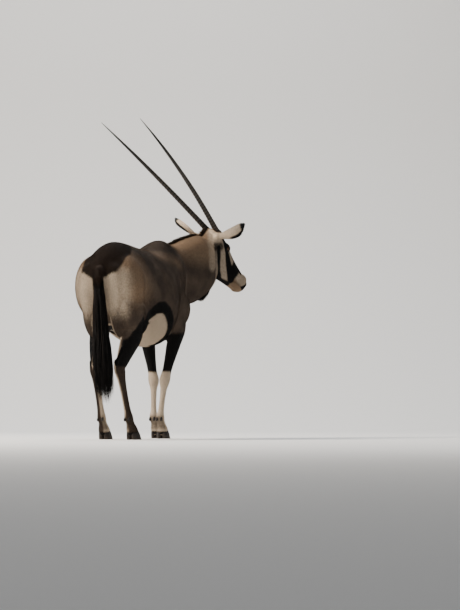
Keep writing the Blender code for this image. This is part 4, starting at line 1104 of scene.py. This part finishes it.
def clear_of_face(p):
    """Places off the eyes, the nose, the lips and the inside of the nostrils."""
    own = in_frame(p, HEAD)
    off = ~((own[:, 0] > 0.408) & (own[:, 2] > -0.045))
    for sign in (1, -1):
        for place, reach in ((EYE_PLACE, EYE_RADIUS + 0.0022), (NOSTRIL_PLACE, 0.017)):
            off &= np.linalg.norm(own - np.array(mirrored(place, sign)), axis=1) > reach
    return off


tuft_finish = coat_material("tufts", 0.0)
middle = corners.mean(axis=1)
beside = {
    "trunk": middle[:, 1],
    "neck": middle[:, 1] - np.interp(middle[:, 0], *zip(*CREST)),
    "head": in_frame(middle, HEAD)[:, 1],
}
for label, part, half, end in COAT_PIECES:
    cell, lift = TUFTS[part]
    chosen = triangle_region == part
    if half:
        chosen &= beside[part] * half >= 0
    if end:
        chosen &= middle[:, 0] * end >= 0
    p, n, region, marks = scatter(cell * (1), chosen)
    off = clear_of_face(p) & (p[:, 2] > 0.045)
    p, n, region, marks = p[off], n[off], region[off], {m: v[off] for m, v in marks.items()}
    count = len(p)
    face = soft_step(in_frame(p, NAPE_PLANE)[:, 0], -0.06, 0.05) * (p[:, 2] > 0.7)
    leg = soft_step(p[:, 2], 0.68, 0.48)
    reach = TUFT_LENGTHS["body"] + (TUFT_LENGTHS["face"] - TUFT_LENGTHS["body"]) * face
    reach = reach * (1 - leg) + TUFT_LENGTHS["leg"] * leg
    if part in ("ear", "dock"):
        reach = np.full(count, TUFT_LENGTHS[part])
    if part == "head":
        reach *= 1 - 0.45 * soft_step(in_frame(p, HEAD)[:, 0], 0.24, 0.40)
    reach *= rng.uniform(0.75, 1.25, count) * 1
    lie = lie_of(p, n, region)
    across = np.cross(n, lie)
    lie = unit(lie + across * rng.normal(0, 0.17, count)[:, None])
    across = np.cross(n, lie)
    up = np.radians(lift * rng.uniform(0.55, 1.3, count))[:, None]
    way = lie * np.cos(up) + n * np.sin(up)
    wide = (TUFT_WIDTH[0] + TUFT_WIDTH[1] * reach) * rng.uniform(0.8, 1.2, count)
    root = p - n * (TUFT_SUNK * reach)[:, None]
    values = {**marks, "tone": rng.uniform(0.2, 0.8, count)}
    piece = blades(label, root, way, across, reach, wide, wide * 0.30, 0 * n, 1, unwrap(p, n, region), values)
    set_in_place(piece, "coat")

# Mane. Stiff short hair along the crest of the neck, dark brown, lying back towards the withers. It
# grows from the skin in a narrow row and stands up out of the coat.

MANE_LOCKS = 1500
MANE_LENGTH = (0.022, 0.020)  # at the ends of the crest, and what the middle has more
MANE_BLADE = (0.0032, 0.0011)  # width and depth of a lock
crest_line = np.array(smooth_between([(x, y) for x, y in CREST[1:]] + [(0.812, -0.135)], 10))


def on_crest(share, offset):
    """A place on top of the neck, and the way that the crest runs there, towards the withers."""
    at = share * (len(crest_line) - 1)
    low = min(int(at), len(crest_line) - 2)
    x, y = crest_line[low] + (crest_line[low + 1] - crest_line[low]) * (at - low)
    run = crest_line[low] - crest_line[low + 1]
    run = run / np.linalg.norm(run)
    above = Vector((x - run[1] * offset, y + run[0] * offset, 1.5))
    return hide_skin.ray_cast(above, Vector((0, 0, -1)))[0], Vector((run[0], run[1], 0))


def hair_marks(black, umber, tan, tone):
    """The markings of long hair, which has no cream."""
    return {"black": black, "umber": umber, "tan": tan, "cream": np.zeros(len(tone)), "tone": tone}


roots, ways, sides_of, lengths = [], [], [], []
for k in range(MANE_LOCKS // (1)):
    share = rng.random()
    offset = rng.normal(0, 0.0085)
    hit, run = on_crest(share, offset)
    stand = 0.42 + 0.22 * rng.random()
    aside = Vector((-run.y, run.x, 0))
    way = (run + Vector((0, 0, stand)) * 0.75 + aside * offset * 14).normalized()
    roots.append(hit - way * 0.004)
    ways.append(way)
    sides_of.append(way.cross(aside).normalized())
    full = math.sin(math.pi * min(1, share + 0.08)) ** 0.6
    lengths.append((MANE_LENGTH[0] + MANE_LENGTH[1] * full) * rng.uniform(0.75, 1.15))
roots, ways, sides_of, lengths = (np.array(v) for v in (roots, ways, sides_of, lengths))
count = len(roots)
umber = np.clip(rng.normal(0.85, 0.2, count), 0, 1)
tan = np.clip(rng.normal(0.5, 0.3, count), 0, 1)
marks = hair_marks(np.full(count, 0.25), umber, tan, rng.uniform(0.2, 0.9, count))
bend = np.tile((-0.25, 0.08, -0.42), (count, 1))
wide, deep = (np.full(count, size) for size in MANE_BLADE)
mane = blades("mane", roots, ways, np.cross(ways, sides_of), lengths, wide, deep, bend, 4,
              unwrap(roots, ways, np.full(count, "neck")), marks)
set_in_place(mane, "dark_hair")

# Throat tuft. A small beard of longer black hair where the throat meets the neck. It grows from the
# skin and hangs down, longest in the middle.

THROAT_LOCKS = 700
THROAT_LENGTH = (0.018, 0.020)  # at its two ends, and what the middle has more
THROAT_BLADE = (0.0028, 0.0010)
THROAT = (Vector((0.745, -0.118, 0.60)), Vector((0.818, -0.152, 0.60)))  # below its two ends
roots, ways, lengths = [], [], []
while len(roots) < THROAT_LOCKS // 1:
    share, aside = rng.random(), rng.normal(0, 0.011)
    spot = THROAT[0].lerp(THROAT[1], share) + Vector((0.4, 0.9, 0)) * aside
    hit = hide_skin.ray_cast(spot, Vector((0, 0, 1)))[0]
    if hit is None:
        continue
    way = Vector((0.06 - 0.25 * share + rng.normal(0, 0.1), rng.normal(0, 0.08), -1)).normalized()
    roots.append(hit - way * 0.005)
    ways.append(way)
    full = math.sin(math.pi * share) ** 0.7
    lengths.append((THROAT_LENGTH[0] + THROAT_LENGTH[1] * full) * rng.uniform(0.7, 1.1))
roots, ways, lengths = (np.array(v) for v in (roots, ways, lengths))
count = len(roots)
marks = hair_marks(np.ones(count), np.ones(count), np.zeros(count), rng.uniform(0.2, 0.8, count))
turned = unit(np.cross(ways, rng.normal(0, 1, (count, 3))))
bend = np.tile((-0.22, 0.05, 0.0), (count, 1))
wide, deep = (np.full(count, size) for size in THROAT_BLADE)
throat = blades("throat_tuft", roots, ways, turned, lengths, wide, deep, bend, 4,
                unwrap(roots, ways, np.full(count, "neck")), marks)
set_in_place(throat, "dark_hair")

# Tail tuft. Long, coarse black hair like a horse's, from close under the root of the tail to below the
# hocks. It hangs in strands that part and taper at their ends, the outer ones higher than the middle.

TAIL_STRANDS = 4200
TAIL_CLUMPS = 46
TAIL_TOP = 0.945
TAIL_ROOTED = 0.465  # length of the dock that carries the strands
TAIL_STRAND = ((0.0032, 0.0060), (0.0010, 0.0020))  # least and most width, least and most depth
count = TAIL_STRANDS // 1
height = TAIL_TOP - TAIL_ROOTED * rng.random(count) ** 0.85
dock_rows = np.array(sorted(dock_line, key=lambda row: row[2]))
rows = np.stack([np.interp(height, dock_rows[:, 2], dock_rows[:, k]) for k in range(4)], axis=1)
centre, half = rows[:, :3], rows[:, 3]
clump = rng.integers(0, TAIL_CLUMPS, count)
angle = (clump + rng.normal(0.5, 0.5, count)) * math.tau / TAIL_CLUMPS
outward = np.stack((np.cos(angle) * 0.75, np.sin(angle), np.zeros(count)), axis=1)
roots = centre + outward * half[:, None] * 0.85
clump_lean = rng.uniform(0.6, 1.15, TAIL_CLUMPS)
clump_end = 0.170 + 0.25 * (clump_lean - 0.6) + rng.uniform(0.0, 0.045, TAIL_CLUMPS)
end = clump_end[clump] + 0.16 * rng.random(count) ** 1.6
lengths = np.maximum(height - end, 0.12)
lean = (0.10 + 0.20 * soft_step(0.92 - height, 0.0, 0.30)) * clump_lean[clump] * rng.uniform(0.7, 1.1, count)
ways = unit(np.array((-0.020, -0.066, -1.0)) + outward * lean[:, None])
bend = -outward * (lean * 1.5)[:, None] + rng.normal(0, 0.03, (count, 3)) * np.array((1, 1, 0))
turned = unit(np.cross(ways, rng.normal(0, 1, (count, 3))))
black = 0.5 + 0.5 * soft_step(0.93 - height, -0.02, 0.06)
marks = hair_marks(black, np.ones(count), np.zeros(count), rng.uniform(0.1, 0.9, count))
tail_uv = np.stack((angle % math.tau / math.tau, 1 - height), axis=1) * (1 - 2 * UV_PATCH) + UV_PATCH
tail_uv = np.clip(tail_uv, UV_PATCH, 1 - UV_PATCH)
wave = rng.normal(0, 1, (count, 3)) * np.array((0.022, 0.022, 0.0))
wide, deep = (rng.uniform(*sizes, count) for sizes in TAIL_STRAND)
tail = blades("tail_tuft", roots, ways, turned, lengths, wide, deep, bend, 6, tail_uv, marks, wave)
set_in_place(tail, "dark_hair", "tail")

# Eyes. Large, dark and wet, with a brown iris and a level pupil under the clear cornea. Each is a ball
# that sits in its socket, open between the lids.

EYE_FACING = (0.20, 0.97, 0.10)
CORNEA_SWELL = 0.0010

eye_finish, shader, wire = material("eye", Roughness=0.08, Specular_IOR_Level=0.12, Coat_Weight=0.05,
                                    Coat_Roughness=0.03)
pupil = wire.named("pupil").between(0.35, 0.65)
rim_dark = wire.named("iris").between(0.45, 0.62)
streaks = wire.noise(900.0, 3.0)
iris = streaks.between(0.3, 0.7).blend((0.030, 0.013, 0.006, 1), (0.075, 0.034, 0.014, 1))
iris = pupil.blend(iris, (0.002, 0.002, 0.003, 1))
feed(shader, "Base Color", rim_dark.blend(iris, (0.010, 0.006, 0.004, 1)))
for side, sign in (("right", -1), ("left", 1)):
    bm = bmesh.new()
    bmesh.ops.create_icosphere(bm, subdivisions=5, radius=EYE_RADIUS)
    ball = object_of("eyeball_" + side, bm)
    at = vertices_of(ball.data)
    look = unit(at)
    ahead, out, up = EYE_FACING
    front = look @ unit(np.array((ahead, sign * out, up)))
    at = at + look * (CORNEA_SWELL * soft_step(front, 0.80, 0.97))[:, None]
    ball.data.vertices.foreach_set("co", at.ravel())
    ball.data.transform(HEAD @ Matrix.Translation(mirrored(EYE_PLACE, sign)))
    oval_pupil = np.hypot(look[:, 0] - ahead, (look[:, 2] - up) * 2.1)
    attribute(ball.data, "pupil", 1 - soft_step(oval_pupil, 0.28, 0.40))
    attribute(ball.data, "iris", soft_step(np.arccos(np.clip(front, -1, 1)), 0.62, 0.86))
    ball.data.materials.append(eye_finish)
    ball.data.shade_smooth()
    set_in_place(ball, "eye", "eye_" + side)

# Horns. Long, almost straight sheaths of keratin over bone, ringed over the lower half and smooth to
# the point. Each is one loft whose radius swells at every ring.

HORN_LENGTH = 1.048
HORN_RADIUS = 0.0152
HORN_FLARE = 0.0048  # more radius at the root
HORN_POINT = 0.0008
HORN_RISE = (math.radians(44.3), math.radians(35.8))
HORN_SPREAD = (math.radians(11.5), math.radians(4.8))
HORN_RINGS = 26
RINGED_TO = 0.60
RING_SWELL = 0.052
HORN_STEPS = 420
HORN_CLOSED = 0.996  # share of the length at which the point is closed
HORN_SIDES = 26

horn_finish, shader, wire = material("horn", Roughness=0.5, Specular_IOR_Level=0.30)
height_share = wire.named("along")
hollow = wire.named("hollow")
# Darker in the grooves between the rings, and in patches of noise.
dark_share = (wire.noise(40.0, 3.0) * 0.5 + hollow * 0.5).between(0.30, 0.80)
colour = dark_share.blend((0.048, 0.036, 0.026, 1), (0.012, 0.009, 0.008, 1))
colour = height_share.between(0.45, 0.80).blend(colour, (0.012, 0.010, 0.009, 1))
feed(shader, "Base Color", colour)
feed(shader, "Roughness", 0.58 - height_share * 0.22 + (wire.noise(60.0) - 0.5) * 0.12)


def keratin_grain(wire, turn, scale, detail, strength):
    """Fine streaks along horn or hoof, as a bump."""
    place = wire.node("TexCoord", output=3)
    place = wire.node("Mapping", None, {"Vector": place, "Rotation": turn, "Scale": scale})
    streaks = wire.node("TexNoise", None, {"Vector": place, "Scale": 1.0, "Detail": detail})
    return wire.bump(strength, 0.0008, streaks)


feed(shader, "Normal", keratin_grain(wire, (0.0, math.radians(40), 0.0), (14.0, 260.0, 260.0), 3.0, 0.35))

for side, sign in (("right", -1), ("left", 1)):
    centre, last = HEAD @ mirrored(HORN_ROOT, sign), 0.0
    rings, shares, hollows = [], [], []
    for k in range(HORN_STEPS + 1):
        t = k / HORN_STEPS * HORN_CLOSED
        rise = HORN_RISE[0] + (HORN_RISE[1] - HORN_RISE[0]) * t
        spread = HORN_SPREAD[0] + (HORN_SPREAD[1] - HORN_SPREAD[0]) * t
        level = math.cos(spread)
        way = in_heading(-math.cos(rise) * level, sign * math.sin(spread), math.sin(rise) * level)
        centre = centre + way * (t - last) * HORN_LENGTH
        last = t
        radius = HORN_RADIUS * (1 - t ** 1.8) ** 0.85 + HORN_FLARE * math.exp(-t / 0.045) + HORN_POINT
        wave = math.sin(math.tau * (t / RINGED_TO) ** 0.92 * HORN_RINGS)
        fade = 1 - min(1.0, max(0.0, (t / RINGED_TO - 0.72) / 0.28))
        ridge = math.copysign(abs(wave) ** 0.7, wave) * fade * (t < RINGED_TO)
        across = way.cross(Vector((0, 0, 1))).normalized()
        ring = oval(centre, across, way.cross(across), radius, radius * 1.06, radius * 1.06, 2.0, HORN_SIDES)
        for j, point in enumerate(ring):
            front = 0.75 + 0.25 * math.cos(math.tau * j / HORN_SIDES - 1.2)
            ring[j] = centre + (point - centre) * (1 + RING_SWELL * ridge * front)
        rings.append(ring)
        shares += [t] * HORN_SIDES
        hollows += [0.5 - 0.5 * ridge] * HORN_SIDES
    bm = bmesh.new()
    add_loft(bm, rings)
    sheath = object_of("sheath_" + side, bm)
    attribute(sheath.data, "along", shares)
    attribute(sheath.data, "hollow", hollows)
    sheath.data.materials.append(horn_finish)
    sheath.data.shade_smooth()
    set_in_place(sheath, "horn", "horn_" + side)

# Hooves. Pairs of pointed claws of black keratin on each foot, with flat soles and faint rings of
# growth round the wall, and two small dewclaws behind each fetlock.

CLAW_LENGTH = 0.092
CLAW_WIDTH = 0.035
CLAW_HEIGHT = 0.052
CLAW_SPLAY = math.radians(5)
CLAW_ROWS = [  # share of the height, length, set back, width, height, slope
    (0.0, 1.00, 0.000, 1.00, 0.00, 0.00), (0.5, 0.86, -0.010, 0.98, 0.50, 0.10),
    (1.0, 0.62, -0.020, 0.84, 0.92, 0.16),
]
CLAW_SIDES = 40
DEWCLAW = (0.0090, 0.0070, 0.0140)
DEWCLAW_PLACE = (-0.0225, 0.0135, -0.012)  # from the fetlock
DEWCLAW_LEAN = math.radians(25)

hoof_finish, shader, wire = material("hoof", Roughness=0.5, Specular_IOR_Level=0.22)
rise = wire.named("along")
mottle = wire.noise(70.0, 4.0)
# Darker up the wall, lighter towards the sole, and mottled.
dark_share = (mottle * 0.6 + rise * 0.4).between(0.25, 0.75)
feed(shader, "Base Color", dark_share.blend((0.040, 0.031, 0.024, 1), (0.012, 0.010, 0.009, 1)))
feed(shader, "Roughness", 0.46 + mottle * 0.30)
feed(shader, "Normal", keratin_grain(wire, (0.0, 0.0, 0.0), (30.0, 30.0, 420.0), 2.0, 0.45))


def claw(place):
    """Rings of one half of a hoof from the sole up, and each point's share of its height."""
    rings, shares = [], []
    for i, (t, along, back, wide, high, slope) in enumerate(smooth_between(CLAW_ROWS, 9)):
        ring = []
        groove = 1 - 0.010 * (i % 3 == 1) * (i > 1)
        for k in range(CLAW_SIDES):
            c, s = math.cos(math.tau * k / CLAW_SIDES), math.sin(math.tau * k / CLAW_SIDES)
            taper = 1 - 0.50 * max(c, 0) ** 2
            ahead = CLAW_LENGTH / 2 * c * along * groove + back
            across = CLAW_WIDTH / 2 * math.copysign(abs(s) ** 0.8, s) * taper * wide * groove
            level = CLAW_HEIGHT * (high + slope * c)
            ring.append(place @ Vector((ahead, across, max(level, 0.0))))
            shares.append(t)
        rings.append(ring)
    return rings, shares


for label, legs in (("fore", FORE_LEGS), ("hind", HIND_LEGS)):
    for side in ("right", "left"):
        joints = legs[side]
        end, fetlock = Vector(joints[-1]), Vector(joints[-3])
        heading = math.atan2(end.y - fetlock.y, end.x - fetlock.x)
        foot = Matrix.Translation((end.x, end.y, 0)) @ Matrix.Rotation(heading, 4, "Z")
        behind = Matrix.Translation(fetlock) @ Matrix.Rotation(heading, 4, "Z")
        for where, way in (("outer", 1), ("inner", -1)):
            way *= 1 if side == "left" else -1
            place = (foot @ Matrix.Translation((0.010, way * (CLAW_WIDTH / 2 + 0.0022), 0))
                     @ Matrix.Rotation(way * CLAW_SPLAY, 4, "Z"))
            bm = bmesh.new()
            rings, shares = claw(place)
            add_loft(bm, rings)
            hoof = object_of(f"claw_{label}_{side}_{where}", bm)
            attribute(hoof.data, "along", shares)
            bm = bmesh.new()
            ahead, aside, up = DEWCLAW_PLACE
            place = behind @ Matrix.Translation((ahead, way * aside, up))
            place = place @ Matrix.Rotation(DEWCLAW_LEAN, 4, "Y")
            add_ellipsoid(bm, (0, 0, 0), DEWCLAW, place, 4)
            spur = object_of(f"spur_{label}_{side}_{where}", bm)
            attribute(spur.data, "along", np.full(len(spur.data.vertices), 0.7))
            for piece, node in ((hoof, "hoof"), (spur, "dewclaw")):
                piece.data.materials.append(hoof_finish)
                piece.data.shade_smooth()
                piece.data.set_sharp_from_angle(angle=math.radians(40))
                set_in_place(piece, "hoof", f"{node}_{label}_{side}_{where}")

# Studio. A pale floor that sweeps up behind, a large soft key from the picture's left, a weak fill, a
# broad light above and a little from all round. The camera stands low behind the animal's right side.

VIEW_TURN = math.radians(21)
VIEW_PITCH = math.radians(2)
PIXELS_A_METRE = 166.0
PICTURE = (460, 610)
ORIGIN_PIXEL = (135.5, 439.0)
CAMERA_DISTANCE = 18.0
SENSOR = 36.0

ahead = Vector((math.cos(VIEW_TURN) * math.cos(VIEW_PITCH), math.sin(VIEW_TURN) * math.cos(VIEW_PITCH),
                math.sin(VIEW_PITCH)))
right = ahead.cross(Vector((0, 0, 1))).normalized()
up = right.cross(ahead)
aim = (right * ((PICTURE[0] / 2 - ORIGIN_PIXEL[0]) / PIXELS_A_METRE)
       + up * ((ORIGIN_PIXEL[1] - PICTURE[1] / 2) / PIXELS_A_METRE) + shift)
lens = bpy.data.cameras.new("camera")
lens.sensor_width = SENSOR
lens.lens = SENSOR * CAMERA_DISTANCE / (PICTURE[1] / PIXELS_A_METRE)
lens.clip_end = 100.0
camera = bpy.data.objects.new("camera", lens)
bpy.context.scene.collection.objects.link(camera)
stand = Matrix((right, up, -ahead)).transposed().to_4x4()
stand.translation = aim - ahead * CAMERA_DISTANCE
camera.matrix_world = stand
bpy.context.scene.camera = camera

FLOOR_SPAN = 40.0  # to each side, and towards the camera
FLOOR_REACH = 5.0
SWEEP = 3.0
WALL = 12.0
bm = bmesh.new()
profile = [(-FLOOR_SPAN, 0.0), (FLOOR_REACH, 0.0)]
profile += [(FLOOR_REACH + SWEEP * math.sin(a), SWEEP * (1 - math.cos(a)))
            for a in np.linspace(0, math.pi / 2, 16)[1:]]
profile.append((FLOOR_REACH + SWEEP, WALL))
facing_way = Matrix.Rotation(VIEW_TURN, 4, "Z")
rows = [[bm.verts.new(facing_way @ Vector((x, y, z))) for x, z in profile]
        for y in (-FLOOR_SPAN, FLOOR_SPAN)]
for k in range(len(profile) - 1):
    bm.faces.new((rows[0][k], rows[0][k + 1], rows[1][k + 1], rows[1][k]))
floor = object_of("floor", bm)
floor.data.shade_smooth()
floor_finish, shader, wire = material("floor", Roughness=0.85)
shader.inputs["Base Color"].default_value = (0.70, 0.69, 0.67, 1)
floor.data.materials.append(floor_finish)


def soft_light(name, place, size, power, colour):
    """A round lamp at a place from the middle of the animal, turned to face it."""
    made = bpy.data.lights.new(name, "AREA")
    made.shape = "DISK"
    made.size = size
    made.energy = power
    made.color = colour
    lamp = bpy.data.objects.new(name, made)
    bpy.context.scene.collection.objects.link(lamp)
    middle = Vector((0, 0, 0.9)) + shift
    lamp.location = middle + place
    lamp.rotation_euler = (middle - lamp.location).to_track_quat("-Z", "Y").to_euler()


level_ahead = Vector((math.cos(VIEW_TURN), math.sin(VIEW_TURN), 0))
soft_light("key", -right * 5.4 - level_ahead * 1.4 + Vector((0, 0, 4.6)), 2.4, 1250, (1.0, 0.92, 0.82))
soft_light("fill", right * 4.0 - level_ahead * 4.5 + Vector((0, 0, 2.2)), 5.0, 55, (0.88, 0.93, 1.0))
soft_light("top", level_ahead * 4.0 + Vector((0, 0, 7.0)), 9.0, 900, (0.95, 0.97, 1.0))
world = bpy.data.worlds.new("studio")
world.use_nodes = True
world.node_tree.nodes["Background"].inputs["Color"].default_value = (0.82, 0.87, 0.93, 1)
world.node_tree.nodes["Background"].inputs["Strength"].default_value = 0.24
bpy.context.scene.world = world
